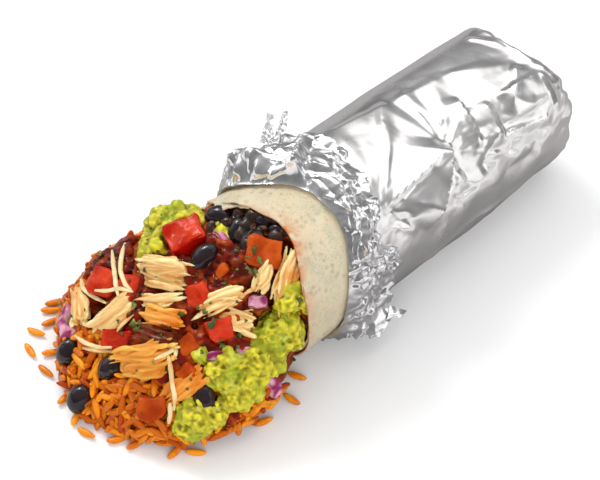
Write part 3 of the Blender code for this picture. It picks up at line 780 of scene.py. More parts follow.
rice_core = cad_copy("rice_core", "rice_filling")
remesh(rice_core, 1.3 * MM)
points, normals = get_points(rice_core), get_normals(rice_core)
spilt = smooth_step(MOUTH_Y + 12 * MM, MOUTH_Y - 2 * MM, points[:, 1])
depth = -1.6 * MM + 1.1 * MM * noise_3d(points, 5 * MM, 201) + 0.5 * MM * noise_3d(points, 2.4 * MM, 202)
points = points + normals * (np.minimum(depth, -0.2 * MM) * spilt - 1.0 * MM * (1 - spilt))[:, None]
points[:, 2] = np.maximum(points[:, 2], 0.02 * MM)
set_points(rice_core, points)
rice_core.data.shade_smooth()
sauce, tree, shader, place = new_material("rice_sauce", Roughness=0.3, Specular_IOR_Level=0.3,
                                          Subsurface_Weight=0.2, Subsurface_Scale=0.003)
colour_in(tree, shader, mottle(tree, place, (0.40, 0.075, 0.006), (0.16, 0.02, 0.003), 160, 4.0, 0.35, 0.65))
bumps(tree, shader, place, (500, 4.0, 0.6, 0.6))
finish(rice_core, sauce, "rice_filling", "rice_filling")


def mesh_object(name, points, faces):
    mesh = bpy.data.meshes.new(name)
    mesh.from_pydata([tuple(p) for p in points], [], faces)
    mesh.update()
    obj = bpy.data.objects.new(name, mesh)
    bpy.context.scene.collection.objects.link(obj)
    return obj


def join_copies(name, base_points, base_faces, matrices, attributes):
    """Many copies of one shape in one mesh, each with its own value of every attribute."""
    count = len(base_points)
    base = np.hstack([base_points, np.ones((count, 1))])
    points = np.concatenate([(base @ np.array(matrix).T)[:, :3] for matrix in matrices])
    faces = [tuple(index + copy * count for index in face)
             for copy in range(len(matrices)) for face in base_faces]
    obj = mesh_object(name, points, faces)
    for key, values in attributes.items():
        float_attribute(obj, key, np.repeat(values, count))
    obj.data.shade_smooth()
    return obj


# One grain: a long ellipsoid, a little flattened, tapered and bent.
deselect_all()
bpy.ops.mesh.primitive_uv_sphere_add(segments=8, ring_count=9, radius=1)
grain = bpy.context.object
grain_points = get_points(grain)
grain_faces = [tuple(face.vertices) for face in grain.data.polygons]
long, wide, high = grain_points[:, 2].copy(), grain_points[:, 0].copy(), grain_points[:, 1].copy()
grain_points = np.stack([long * 4.4, wide * 1.5 * (1 - 0.15 * long), high * 1.4 + 0.5 * long ** 2 - 0.2],
                        axis=1) * MM
bpy.data.objects.remove(grain)

rng = np.random.default_rng(7)


def blocked(place, trees, margin):
    """Whether a place is inside a solid by more than the margin."""
    for (low, high), tree in trees:
        if all(low[axis] < place[axis] < high[axis] for axis in range(3)):
            spot, normal, index, distance = tree.find_nearest(place)
            if (place - spot).dot(normal) < 0 and distance > margin:
                return True
    return False


def turned(place, along, up, size):
    """A matrix that puts a shape's X along one direction and its Z near another."""
    along = along.normalized()
    side = up.cross(along).normalized()
    up = along.cross(side)
    matrix = Matrix((along, side, up)).transposed().to_4x4()
    return Matrix.Translation(place) @ matrix @ Matrix.Diagonal((*size, 1))


def scatter_on(tree, low, high, spacing, tries, keep):
    """Places on a solid's sides and top, at least a spacing apart, with their normals."""
    found = []
    taken = {}
    for _ in range(tries):
        towards = Vector([rng.uniform(low[axis], high[axis]) for axis in range(3)])
        turn, drop = rng.uniform(0, math.tau), rng.uniform(-0.05, 1)
        level = math.sqrt(1 - drop ** 2)
        slope = Vector((math.cos(turn) * level, math.sin(turn) * level, -drop))
        spot, normal, index, distance = tree.ray_cast(towards - slope * 0.3, slope)
        if spot is None or normal.z < -0.35 or not keep(spot):
            continue
        cell = tuple(int(math.floor(part / spacing)) for part in spot)
        near = [other for dx in (-1, 0, 1) for dy in (-1, 0, 1) for dz in (-1, 0, 1)
                for other in taken.get((cell[0] + dx, cell[1] + dy, cell[2] + dz), ())]
        if any((spot - other).length < spacing for other in near):
            continue
        taken.setdefault(cell, []).append(spot)
        found.append((spot, normal))
    return found


heap_low = Vector((-0.060, MOUTH_Y - 88 * MM, 0))
heap_high = Vector((0.050, MOUTH_Y + 3 * MM, 0.068))
RICE_AREAS = ((-14, 73, 14), (8, 68, 12), (-31, 70, 13), (26, 60, 9), (36, 34, 8))


def in_areas(spot, areas):
    """Whether a place is over one of some round areas: an x, a distance and a radius in millimetres."""
    x, distance = (spot.x - AXIS_X) / MM, (MOUTH_Y - spot.y) / MM
    return any((x - ax) ** 2 + (distance - ad) ** 2 < ar ** 2 for ax, ad, ar in areas)


def rice_shows(spot):
    """Whether the heap's surface is bare rice there: round its foot and on its left and front."""
    x, distance = (spot.x - AXIS_X) / MM, (MOUTH_Y - spot.y) / MM
    if distance < -2 or (x < -27 and distance < 31 and spot.z > 40 * MM):
        return False
    return (spot.z < 13 * MM or x < -54 or (x < -45 and distance > 44) or (x < -34 and distance < 24)
            or in_areas(spot, RICE_AREAS))


matrices, tones = [], []
for spacing, lift, tries in ((2.9 * MM, -0.6, 40000), (3.4 * MM, 0.9, 26000)):
    spots = scatter_on(rice_tree, heap_low, heap_high, spacing, tries, rice_shows)
    for spot, normal in spots:
        place = spot + normal * (lift + rng.uniform(-0.5, 0.9)) * MM
        place.z = max(place.z, 1.5 * MM)
        if blocked(place, topping_trees, 1.0 * MM) or blocked(place, guacamole_trees, 0.5 * MM):
            continue
        lean = Vector(rng.normal(0, 1, 3))
        along = lean - normal * lean.dot(normal) * rng.uniform(0.45, 1.1)
        if place.z < 4 * MM:
            along.z *= 0.2
        size = rng.uniform(0.82, 1.12)
        matrices.append(turned(place, along, normal, (size * rng.uniform(0.85, 1.1), size, size)))
        tones.append(rng.random())
rice_grains = join_copies("rice_grains", grain_points, grain_faces, matrices, {"tone": tones})

STRAY_GRAINS = (  # x and distance from the mouth's middle in millimetres, and heading in degrees
    (-63, 68, 22), (-57, 76, -10), (-44, 78, 5), (-28, 81, 100), (-17, 84, 120), (-8, 86, 15), (10, 75, 80),
    (-70, 52, 60), (-68, 56, 50), (-63, 60, 75), (31, 4, 20), (38, 14, 10), (38, 30, 70), (-50, 70, 60),
    (24, 66, 95), (3, 79, 60), (30, 60, 40),
)
matrices, tones = [], []
for x, distance, heading in STRAY_GRAINS:
    place = at_mouth(x, distance, 1.45)
    heading = math.radians(heading)
    matrices.append(turned(place, Vector((math.cos(heading), math.sin(heading), rng.uniform(-0.05, 0.05))),
                           Vector((rng.uniform(-0.3, 0.3), rng.uniform(-0.3, 0.3), 1)), (1, 1, 1)))
    tones.append(rng.uniform(0.5, 1))
stray_grains = join_copies("stray_grains", grain_points, grain_faces, matrices, {"tone": tones})

grain_skin, tree, shader, place = new_material("orange_rice", Roughness=0.25, Specular_IOR_Level=0.15,
                                               Coat_Weight=0.25, Coat_Roughness=0.08, Subsurface_Weight=0.3,
                                               Subsurface_Scale=0.002)
shader.inputs["Subsurface Radius"].default_value = (1.0, 0.45, 0.15)
colour = mix_colours(tree, attribute(tree, "tone"), (0.40, 0.040, 0.001), (1.0, 0.35, 0.012))
colour = mottle(tree, place, colour, (0.52, 0.06, 0.004), 300, 3.0, 0.48, 0.72, 0.6)
colour_in(tree, shader, colour)
bumps(tree, shader, place, (900, 3.0, 0.3, 0.2))
finish(rice_grains, grain_skin, "rice_filling")
finish(stray_grains, grain_skin, "rice_filling")

# What is spooned over the rice: a dark red salsa, crushed black beans at the top of the mouth, and
# guacamole, a mash of ripe avocado with soft lumps, along the right and at the upper left.


def blob_mass(name, spots, voxel, base=None, melt=0):
    """Overlapping flattened balls, each a place, a normal and a radius, melted into one lumpy mass."""
    deselect_all()
    bpy.ops.mesh.primitive_ico_sphere_add(subdivisions=2, radius=1)
    ball = bpy.context.object
    ball_points, ball_faces = get_points(ball), [tuple(face.vertices) for face in ball.data.polygons]
    bpy.data.objects.remove(ball)
    matrices = []
    for place, normal, radius in spots:
        along = normal.orthogonal().normalized()
        along.rotate(Matrix.Rotation(rng.uniform(0, math.tau), 3, normal))
        matrices.append(turned(place, along, normal, (radius * rng.uniform(0.9, 1.4), radius, radius * 0.8)))
    mass = join_copies(name, ball_points, ball_faces, matrices, {})
    if base:
        deselect_all()
        mass.select_set(True)
        base.select_set(True)
        bpy.context.view_layer.objects.active = mass
        bpy.ops.object.join()
    remesh(mass, voxel)
    if melt:
        add_modifier(mass, "SMOOTH", factor=0.5, iterations=melt)
    return mass


def roughen(obj, *layers):
    """Moves points along their normals by layers of noise or ridges, each a kind, a cell and a height.

    How far each point then stands off the smoothed surface, from 0 in the hollows to 1 on the ridges, is
    kept as an attribute, which the materials use to paint shade into the hollows.
    """
    points, normals = get_points(obj), get_normals(obj)
    total = np.zeros(len(points))
    for number, (kind, cell, height) in enumerate(layers):
        seed = 300 + number + len(points) % 97
        if kind == "noise":
            total += height * noise_3d(points, cell * MM, seed)
        else:
            total += height * (0.5 - 2.2 * np.abs(noise_3d(points, cell * MM, seed)))
    set_points(obj, points + normals * (total * MM)[:, None])
    keep_hollows(obj)
    obj.data.shade_smooth()


def keep_hollows(obj):
    even = bpy.data.objects.new("even", obj.data.copy())
    bpy.context.scene.collection.objects.link(even)
    add_modifier(even, "SMOOTH", factor=0.5, iterations=25)
    off = ((get_points(obj) - get_points(even)) * get_normals(even)).sum(axis=1)
    bpy.data.meshes.remove(even.data)
    # Kept for painted shade: the materials darken the hollows by it.
    float_attribute(obj, "hollow", np.clip(0.5 + off / (4 * off.std() + 1e-9), 0, 1))


def spots_on(tree, keep, spacing, radius, lift, skip=()):
    """Spots over the parts of a solid that are kept, for a mass of balls."""
    spots = scatter_on(tree, heap_low, heap_high, spacing * MM, 12000, keep)
    return [(spot + normal * lift * MM, normal, radius * rng.uniform(0.7, 1.35) * MM)
            for spot, normal in spots if not blocked(spot, skip, 1.5 * MM)]


def salsa_shows(spot):
    x, distance = (spot.x - AXIS_X) / MM, (MOUTH_Y - spot.y) / MM
    if (x > 16 and distance < 24) or (x < -27 and distance < 31 and spot.z > 40 * MM):
        return False
    return not rice_shows(spot) and spot.y < MOUTH_Y and not in_areas(spot, MASH_AREAS)


MASH_AREAS = ((-5, 0, 9), (4, -3, 8), (-13, 2, 6), (10, -5, 6))
salsa = blob_mass("salsa", spots_on(rice_tree, salsa_shows, 2.7, 3.0, 0.2, guacamole_trees), 0.6 * MM,
                  melt=12)
roughen(salsa, ("noise", 5, 1.1), ("noise", 2.6, 0.75), ("ridges", 3.4, 0.25), ("noise", 1.3, 0.22))
salsa_skin, tree, shader, place = new_material("red_salsa", Roughness=0.13, Specular_IOR_Level=0.18,
                                               Subsurface_Weight=0.2, Subsurface_Scale=0.002)
# Painted shade: the salsa is much darker in its hollows than on its ridges.
colour = mix_colours(tree, attribute(tree, "hollow"), (0.020, 0.001, 0.001), (0.21, 0.011, 0.002))
colour = mottle(tree, place, colour, (0.42, 0.060, 0.004), 200, 4.0, 0.5, 0.64, 0.8)
colour = mottle(tree, place, colour, (0.07, 0.006, 0.002), 110, 3.0, 0.52, 0.66)
colour_in(tree, shader, colour)
bumps(tree, shader, place, (500, 3.0, 0.4, 0.4))
finish(salsa, salsa_skin, "rice_filling")

mash_spots = spots_on(rice_tree, lambda spot: in_areas(spot, MASH_AREAS), 4.2, 3.2, 0.0)
mash = blob_mass("bean_mash", mash_spots, 0.6 * MM, melt=6)
roughen(mash, ("noise", 5.0, 0.9), ("noise", 2.5, 0.4), ("noise", 1.3, 0.12))
mash_skin, tree, shader, place = new_material("crushed_beans", Roughness=0.16, Specular_IOR_Level=0.3)
# Painted shade: the crushed beans are darker in their hollows.
colour = mix_colours(tree, attribute(tree, "hollow"), (0.004, 0.002, 0.002), (0.040, 0.020, 0.014))
colour = mottle(tree, place, colour, (0.16, 0.07, 0.035), 260, 4.0, 0.56, 0.66)
colour_in(tree, shader, colour)
bumps(tree, shader, place, (600, 4.0, 0.4, 0.4))
finish(mash, mash_skin, "bean_8")

avocado, tree, shader, place = new_material("guacamole", Roughness=0.16, Specular_IOR_Level=0.25,
                                            Subsurface_Weight=0.3, Subsurface_Scale=0.002)
shader.inputs["Subsurface Radius"].default_value = (0.8, 1.0, 0.25)
# Painted shade: the guacamole is dark olive in its hollows and bright on its ridges.
colour = mix_colours(tree, attribute(tree, "hollow"), (0.13, 0.11, 0.001), (0.78, 0.69, 0.045))
colour = mottle(tree, place, colour, (0.34, 0.42, 0.025), 120, 3.0, 0.48, 0.66, 0.85)
colour = mottle(tree, place, colour, (0.76, 0.76, 0.13), 210, 3.0, 0.57, 0.7, 0.7)
colour = mix_colours(tree, times(tree, dots(tree, place, 240, 0.17), noise(tree, place, 60, 2.0, 0.5, 0.6)),
                     colour, (0.06, 0.12, 0.008))
colour_in(tree, shader, colour)
bumps(tree, shader, place, (650, 4.0, 0.6, 0.4))
EXTRA_LUMPS = {  # places from the mouth's middle and radii, in millimetres
    "guacamole_left": ((-34, 25, 49, 5.5), (-31, 29, 48, 4.5), (-37, 19, 51, 5.5), (-38, 13, 52, 5.5),
                       (-36, 8, 52, 5), (-31, 4, 52, 4.5), (-26, 1, 53, 4), (-31, 20, 51, 5),
                       (-32, 14, 53, 5), (-15, 5, 61, 2.0), (-12, 6, 61.5, 2.6), (-9, 6.5, 62, 2.8),
                       (-6, 8, 62, 2.4)),
    "guacamole_right": ((16, 42, 36, 4.5), (22, 42, 33, 5), (28, 34, 35, 4), (30, 1, 50, 4), (31, -1, 44, 4),
                        (24, 36, 37, 4), (36, 20, 30, 4)),
}
for node in ("guacamole_right", "guacamole_left"):
    base = cad_copy(node + "_base", node)
    low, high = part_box(node)
    lumps = scatter_on(tree_of(node), low, high, 5.5 * MM, 5000, lambda spot: spot.y < MOUTH_Y + 6 * MM)
    lumps = [(spot - normal * 1.5 * MM, normal, rng.uniform(2.2, 4.6) * MM) for spot, normal in lumps]
    lumps += [(at_mouth(x, distance, z), Vector((0.2, -0.6, 0.8)).normalized(), radius * MM)
              for x, distance, z, radius in EXTRA_LUMPS[node]]
    guacamole = blob_mass(node.replace("guacamole", "avocado"), lumps, 0.62 * MM, base)
    roughen(guacamole, ("noise", 8, 1.3), ("noise", 3.8, 0.9), ("ridges", 3.1, 0.3), ("noise", 2.0, 0.6),
            ("noise", 1.1, 0.4))
    finish(guacamole, avocado, node, node)

# The diced and shredded toppings. Each stands for the CAD solid under it, near its place and size.


def frame_of(node):
    """A CAD node's middle, its axes from the longest to the shortest and its half sizes along them."""
    points = np.array([vert.co for vert in nodes[node].data.vertices])
    low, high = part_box(node)
    centred = points - points.mean(0)
    axes = np.linalg.svd(centred, full_matrices=False)[2]
    if np.linalg.det(axes) < 0:
        axes[2] = -axes[2]
    if axes[2][2] < 0:
        axes[1:] = -axes[1:]
    along = centred @ axes.T
    middle = points.mean(0) + ((along.max(0) + along.min(0)) / 2) @ axes
    return Vector(middle), [Vector(axis) for axis in axes], (along.max(0) - along.min(0)) / 2


# Black beans: smooth kidney-shaped seeds with a tight shiny skin and a pale eye in the hollow side.
bean_skin, tree, shader, place = new_material("black_bean", Roughness=0.2, Specular_IOR_Level=0.2,
                                              Coat_Weight=0.5, Coat_Roughness=0.03)
colour = mottle(tree, place, (0.008, 0.005, 0.007), (0.030, 0.014, 0.018), 130, 3.0, 0.4, 0.7)
colour = mix_colours(tree, attribute(tree, "eye"), colour, (0.45, 0.36, 0.26))
colour_in(tree, shader, colour)
bumps(tree, shader, place, (160, 2.0, 0.12, 0.4))
for node in [name for name in nodes if name.startswith("bean")]:
    middle, axes, half = frame_of(node)
    half = half * 1.1
    deselect_all()
    bpy.ops.mesh.primitive_uv_sphere_add(segments=40, ring_count=28, radius=1)
    bean = bpy.context.object
    bean.name = bean.data.name = "black_" + node
    points = get_points(bean)
    long, wide, high = points[:, 2], points[:, 0], points[:, 1]
    plump = 1 - 0.10 * long ** 2
    waist = np.exp(-(long / 0.35) ** 2) * np.clip(wide, 0, 1) ** 2
    shape = np.stack([long * half[0], (wide * plump * (1 - 0.16 * waist) - 0.16 * (1 - long ** 2)) * half[1],
                      high * half[2] * 1.05], axis=1)
    shape[:, 1] += 0.08 * half[1]
    dent = noise_3d(shape, 5 * MM, 400 + len(node) + int(node[-1])) * 0.25 * MM
    shape *= 1 + (dent / half.mean())[:, None]
    float_attribute(bean, "eye", np.exp(-((long / 0.16) ** 2 + (high / 0.10) ** 2)) * (wide > 0.6))
    set_points(bean, shape @ np.array(axes) + np.array(middle))
    bean.data.shade_smooth()
    finish(bean, bean_skin, node, node)


# Diced tomato: wet red flesh, cut square but soft, with its smooth skin on one face. Some dice are fried,
# so they are orange and matt.
def tomato_material(name, flesh, deep, skin, roughness):
    material, tree, shader, place = new_material(name, Roughness=roughness, Specular_IOR_Level=0.08,
                                                 Coat_Weight=0.14, Coat_Roughness=0.05,
                                                 Subsurface_Weight=0.35, Subsurface_Scale=0.003)
    shader.inputs["Subsurface Radius"].default_value = (1.0, 0.25, 0.1)
    colour = mottle(tree, place, flesh, deep, 130, 4.0, 0.35, 0.65)
    pale = tuple(min(1.0, part * 1.2 + 0.025) for part in flesh)
    colour = mottle(tree, place, colour, pale, 90, 5.0, 0.55, 0.72, 0.6)
    colour = mix_colours(tree, attribute(tree, "skin"), colour, skin)
    colour_in(tree, shader, colour)
    bumps(tree, shader, place, (260, 3.0, 0.35, 0.5), (800, 3.0, 0.3, 0.2))
    return material


red_tomato = tomato_material("fresh_tomato", (0.62, 0.050, 0.014), (0.40, 0.010, 0.002),
                             (0.40, 0.005, 0.001), 0.2)
fried_tomato = tomato_material("fried_tomato", (0.55, 0.095, 0.007), (0.36, 0.035, 0.002),
                               (0.50, 0.065, 0.003), 0.3)
FRIED = ("tomato_4", "tomato_6", "tomato_8", "tomato_9", "tomato_11", "tomato_12")
for node in [name for name in nodes if name.startswith("tomato")]:
    number = int(node.split("_")[1])
    middle, axes, half = frame_of(node)
    dice = cad_copy("diced_" + node, node)
    rng = np.random.default_rng(440 + number)
    bm = bmesh.new()
    bm.from_mesh(dice.data)
    for _ in range(3):  # oblique cuts take off some of its corners
        slope = Vector(axes[0]) * rng.choice((-1, 1)) + Vector(axes[1]) * rng.uniform(-0.9, 0.9)
        slope = (slope + Vector(axes[2]) * rng.uniform(-0.7, 0.7)).normalized()
        reach = max((vert.co - middle).dot(slope) for vert in bm.verts) * rng.uniform(0.72, 0.86)
        result = bmesh.ops.bisect_plane(bm, geom=bm.verts[:] + bm.edges[:] + bm.faces[:],
                                        plane_co=middle + slope * reach, plane_no=slope, clear_outer=True)
        cut_edges = [edge for edge in result["geom_cut"] if isinstance(edge, bmesh.types.BMEdge)]
        bmesh.ops.edgenet_fill(bm, edges=cut_edges)
    bm.to_mesh(dice.data)
    bm.free()
    remesh(dice, 0.5 * MM)
    add_modifier(dice, "SMOOTH", factor=0.5, iterations=2)
    roughen(dice, ("noise", 9, 1.2), ("noise", 4, 0.6), ("noise", 2.0, 0.25), ("noise", 0.9, 0.05))
    facing = get_normals(dice) @ np.array(axes[number % 2]) * (1 if number % 3 else -1)
    float_attribute(dice, "skin", smooth_step(0.6, 0.85, facing))
    finish(dice, fried_tomato if node in FRIED else red_tomato, node, node)


# Shredded chicken: bundles of muscle fibres that run along each shred and fray at its ends, pale inside and
# stained by the sauce.
def chicken_material(name, meat, stain, amount, axes):
    material, tree, shader, place = new_material(name, Roughness=0.28, Specular_IOR_Level=0.25,
                                                 Subsurface_Weight=0.35, Subsurface_Scale=0.003)
    shader.inputs["Subsurface Radius"].default_value = (1.0, 0.5, 0.25)
    grainwise = add_node(tree, "ShaderNodeMapping", vector_type="TEXTURE")
    grainwise.inputs["Rotation"].default_value = Matrix(axes).transposed().to_euler()
    grainwise.inputs["Scale"].default_value = (6, 1, 1)
    tree.links.new(place, grainwise.inputs["Vector"])
    fibre = grainwise.outputs["Vector"]
    darker = tuple(part * 0.75 for part in meat)
    paler = tuple(min(1.0, part * 1.2 + 0.08) for part in meat)
    least = 0.62 - amount * 0.3
    colour = mottle(tree, fibre, meat, darker, 420, 4.0, 0.35, 0.65)
    colour = mottle(tree, fibre, colour, paler, 200, 3.0, 0.5, 0.7, 0.6)
    colour = mottle(tree, place, colour, stain, 75, 4.0, least, least + 0.13, 0.85)
    # Painted shade in the grooves between the fibres, made orange too, as sauce also collects there.
    hollow = tuple(part * depth for part, depth in zip(meat, (0.72, 0.40, 0.14)))
    colour = mix_colours(tree, attribute(tree, "hollow"), hollow, colour)
    colour_in(tree, shader, colour)
    bumps(tree, shader, fibre, (600, 3.0, 0.35, 0.3))
    return material


def tube_faces(base, rings):
    """The sides and the two ends of a tube of eight-sided rings, whose points start at a base."""
    faces = []
    for step in range(rings - 1):
        for k in range(8):
            a, b = base + step * 8 + k, base + step * 8 + (k + 1) % 8
            faces.append((a, b, b + 8, a + 8))
    faces.append(tuple(base + k for k in reversed(range(8))))
    faces.append(tuple(base + (rings - 1) * 8 + k for k in range(8)))
    return faces


def shred(name, middle, axes, half, splay, seed):
    """A chunk torn along the grain: a flat core, fibres melted on to it, and loose ones at its ends."""
    rng = np.random.default_rng(seed)
    strands = max(4, round(half[1] * 2 / (1.5 * MM)))
    layers = max(3, round(half[2] * 2 / (1.9 * MM)))
    ring = np.arange(8) * math.tau / 8
    rings = 15
    points, faces = [], []
    for layer in range(layers):
        for strand in range(strands):
            side = (strand + 0.5 + rng.uniform(-0.4, 0.4)) / strands * 2 - 1
            level = (layer + 0.5 + rng.uniform(-0.3, 0.3)) / layers * 2 - 1
            room = math.sqrt(max(0.0, 1 - 0.7 * side ** 2))
            loose = rng.random() < 0.4
            middle_x = rng.uniform(-0.3, 0.3)
            reach = rng.uniform(0.7, 1.05) if loose else rng.uniform(0.5, 0.85)
            tilt, bow = rng.normal(0, 0.12 + 0.15 * loose), rng.normal(0, 0.08 + 0.12 * loose)
            sag = rng.normal(0, 0.12 + 0.2 * loose)
            phase = rng.uniform(0, 6)
            thick, flat = rng.uniform(0.55, 1.25) * MM, rng.uniform(0.5, 0.85)
            roll = rng.uniform(0, math.pi)
            base = len(points)
            for step in range(rings):
                t = step / (rings - 1) * 2 - 1
                x = middle_x + reach * t
                y = side * (1 + splay * x) + tilt * t + bow * math.sin(2.5 * t + phase)
                z = level * room * (1 - 0.35 * x ** 2) + sag * math.sin(2 * t + phase)
                taper = (1 - abs(t) ** 2.5) ** 0.6 * (1 + 0.15 * math.sin(4 * t + phase)) + 0.03
                centre = np.array([x * half[0], y * half[1] * 0.85, z * half[2] * 0.8])
                for a in ring:
                    p, q = math.cos(a) * thick * 1.25, math.sin(a) * thick * flat
                    turned_ring = np.array([0, p * math.cos(roll) - q * math.sin(roll),
                                            p * math.sin(roll) + q * math.cos(roll)])
                    points.append(centre + turned_ring * taper)
            faces.extend(tube_faces(base, rings))
    deselect_all()
    bpy.ops.mesh.primitive_ico_sphere_add(subdivisions=4, radius=1)
    core = bpy.context.object
    shape = signed_power(get_points(core), 0.75)
    uneven = 1 + 0.3 * noise_3d(shape, 0.8, seed + 5)[:, None]
    shape = shape * uneven * half * (0.70, 0.78, 0.62)
    shape[:, 1] *= 1 + splay * shape[:, 0] / half[0]
    base = len(points)
    points.extend(shape)
    faces.extend(tuple(base + index for index in face.vertices) for face in core.data.polygons)
    bpy.data.objects.remove(core)
    points = np.array(points)
    bend = np.stack([noise_3d(points, 9 * MM, seed + 10 + axis) for axis in range(3)], axis=1)
    points = points + bend * (0.3 * MM, 0.8 * MM, 0.7 * MM)
    obj = mesh_object(name, points @ np.array(axes) + np.array(middle), faces)
    merge_doubles(obj, 0.001 * MM)
    remesh(obj, 0.4 * MM)
    add_modifier(obj, "SMOOTH", factor=0.5, iterations=1)
    points, normals = get_points(obj), get_normals(obj)
    fibres = (points - np.array(middle)) @ np.array(axes).T
    fibres[:, 1] += 0.12 * np.abs(fibres[:, 0])
    fibres = fibres * (0.16, 1, 1)
    grooves = 0.55 - 2.2 * np.abs(noise_3d(fibres, 3.2 * MM, seed))
    fine = 0.5 - 2 * np.abs(noise_3d(fibres, 1.5 * MM, seed + 1))
    set_points(obj, points + normals * ((-0.5 * grooves - 0.26 * fine) * MM)[:, None])
    keep_hollows(obj)
    obj.data.shade_smooth()
    return obj


PALE, GOLDEN, SAUCY = (1.0, 0.76, 0.36), (0.98, 0.50, 0.085), (0.22, 0.045, 0.005)
SHREDS = (  # node, ends from the mouth's middle, width, thickness, splay, meat, share stained by sauce
    ("chicken_1", (-28, 35, 47), (-6, 26, 54), 16, 8, 0.2, PALE, 0.15),
    ("", (-20, 46, 40), (-4, 32, 49), 5, 3, -0.3, PALE, 0.15),
    ("", (-27, 38, 44), (-6, 31, 51), 6, 4, 0.2, PALE, 0.1),
    ("chicken_2", (-53, 50, 27), (-36, 62, 26), 9, 8, 0.1, PALE, 0.3),
    ("", (-29, 61, 27), (-21, 43, 41), 12, 7, 0.2, PALE, 0.35),
    ("chicken_3", (-12, 65, 24), (9, 50, 37), 17, 9, -0.1, GOLDEN, 0.4),
    ("chicken_4", (2, 35, 46), (17, 17, 55), 9, 6, -0.2, PALE, 0.2),
    ("chicken_7", (11, 29, 46), (25, 21, 46), 10, 6, 0.1, PALE, 0.3),
    ("chicken_5", (20, -5, 66), (28, 11, 51), 9, 6, 0.1, PALE, 0.3),
    ("", (17, 3, 64), (18, 15, 54), 6, 5, -0.2, PALE, 0.2),
    ("", (25, 7, 56), (31, 11, 47), 6, 4, 0.0, GOLDEN, 0.3),
    ("chicken_6", (-16, 47, 40), (4, 40, 45), 9, 6, 0.0, GOLDEN, 0.45),
    ("", (-12, 52, 36), (7, 46, 38), 10, 7, 0.0, SAUCY, 0.6),
    ("chicken_8", (14, 61, 21), (21, 45, 34), 8, 7, 0.1, GOLDEN, 0.6),
)
look = direction_to(*LOOK_FROM)
for number, (node, start, end, width, thickness, splay, meat, amount) in enumerate(SHREDS):
    start, end = at_mouth(*start), at_mouth(*end)
    middle = (start + end) / 2 + look * 0.8 * MM
    spot, up, index, distance = rice_tree.find_nearest(middle)
    along = (end - start).normalized()
    across = (up + look).normalized().cross(along).normalized()
    axes = [along, across, along.cross(across)]
    half = np.array([(end - start).length / 2, width * MM / 2, thickness * MM / 2])
    name = "shredded_" + (node or f"chicken_bit_{number}")
    piece = shred(name, middle, axes, half, splay, 500 + number)
    stain = (0.10, 0.015, 0.003) if meat is SAUCY else (0.72, 0.22, 0.02)
    skin = chicken_material("meat_of_" + name, meat, stain, amount, axes)
    finish(piece, skin, node or "chicken_1", *([node] if node else []))


# Red onion: chopped bits of the bulb's layers, purple where each layer's skin is and nearly white between.
onion_skin, tree, shader, place = new_material("red_onion", Roughness=0.2, Specular_IOR_Level=0.2,
                                               Subsurface_Weight=0.45, Subsurface_Scale=0.002)
colour = mix_colours(tree, attribute(tree, "rind"), (0.76, 0.43, 0.52), (0.26, 0.015, 0.09))
colour = mottle(tree, place, colour, (0.42, 0.05, 0.16), 200, 3.0, 0.45, 0.65, 0.6)
colour_in(tree, shader, colour)
bumps(tree, shader, place, (350, 3.0, 0.3, 0.3))
for node in [name for name in nodes if name.startswith("red_onion")]:
    number = int(node[-1])
    middle, axes, half = frame_of(node)
    onion = cad_copy("chopped_" + node, node)
    if number == 1:
        swollen = np.array(middle) + (get_points(onion) - np.array(middle)) * 1.35 + np.array(look) * 2 * MM
        set_points(onion, swollen)
    remesh(onion, 0.4 * MM)
    add_modifier(onion, "SMOOTH", factor=0.5, iterations=3)
    roughen(onion, ("noise", 6, 1.5), ("noise", 3, 0.7), ("noise", 1.4, 0.15))
    local = (get_points(onion) - np.array(middle)) @ np.array(axes).T / MM
    depth = local[:, 2] + 0.06 * local[:, 0] ** 2 + 0.5 * noise_3d(local, 4, 700 + number)
    float_attribute(onion, "rind", smooth_step(0.45, 0.95, np.abs(((depth / 2.6) % 1) * 2 - 1)))
    finish(onion, onion_skin, node, node)

# What is sprinkled over everything: shreds of mild cheese and torn herb leaves. They lie on whatever piece
# is on top.


def tree_over(objects):
    """A search tree over the meshes of finished pieces."""
    points, faces = [], []
    for obj in objects:
        base = len(points)
        points.extend(vert.co.copy() for vert in obj.data.vertices)
        faces.extend(tuple(base + index for index in face.vertices) for face in obj.data.polygons)
    return BVHTree.FromPolygons(points, faces)


LAID = ("rice", "salsa", "bean", "avocado", "black", "diced", "shredded", "chopped")
top_tree = tree_over([obj for obj in bpy.context.scene.objects if obj.type == "MESH"
                      and obj.name.split("_")[0] in LAID and obj.name not in nodes])

CHEESE = (  # places that each shred passes over, from the mouth's middle, in millimetres
    ((-47, 28, 41), (-41, 35, 43), (-36, 40, 42), (-29, 43, 42), (-25, 43, 42)),
    ((-50, 33, 38), (-43, 38, 40), (-37, 42, 41), (-33, 45, 40), (-29, 47, 38)),
    ((-41, 50, 34), (-35, 48, 37), (-31, 45, 40), (-24, 43, 42)),
    ((-56, 46, 26), (-49, 50, 28), (-40, 52, 32), (-32, 51, 34)),
    ((-38, 65, 20), (-30, 65, 22), (-24, 64, 24), (-18, 61, 27)),
    ((-31, 67, 20), (-24, 65, 23), (-17, 62, 26)),
    ((2, 55, 33), (5, 51, 36), (7, 48, 38), (9, 50, 35)),
    ((6, 51, 36), (9, 53, 33), (13, 56, 29), (17, 58, 25), (19, 61, 20)),
    ((16, 60, 22), (18, 62, 18), (19, 64, 14)),
)


def seen_place(tree, place):
    """Where a line of sight through a place meets a surface, so that what is laid there shows there."""
    spot, normal, index, distance = tree.ray_cast(place + look * 0.3, -look)
    return (spot, normal) if spot else (place, look)


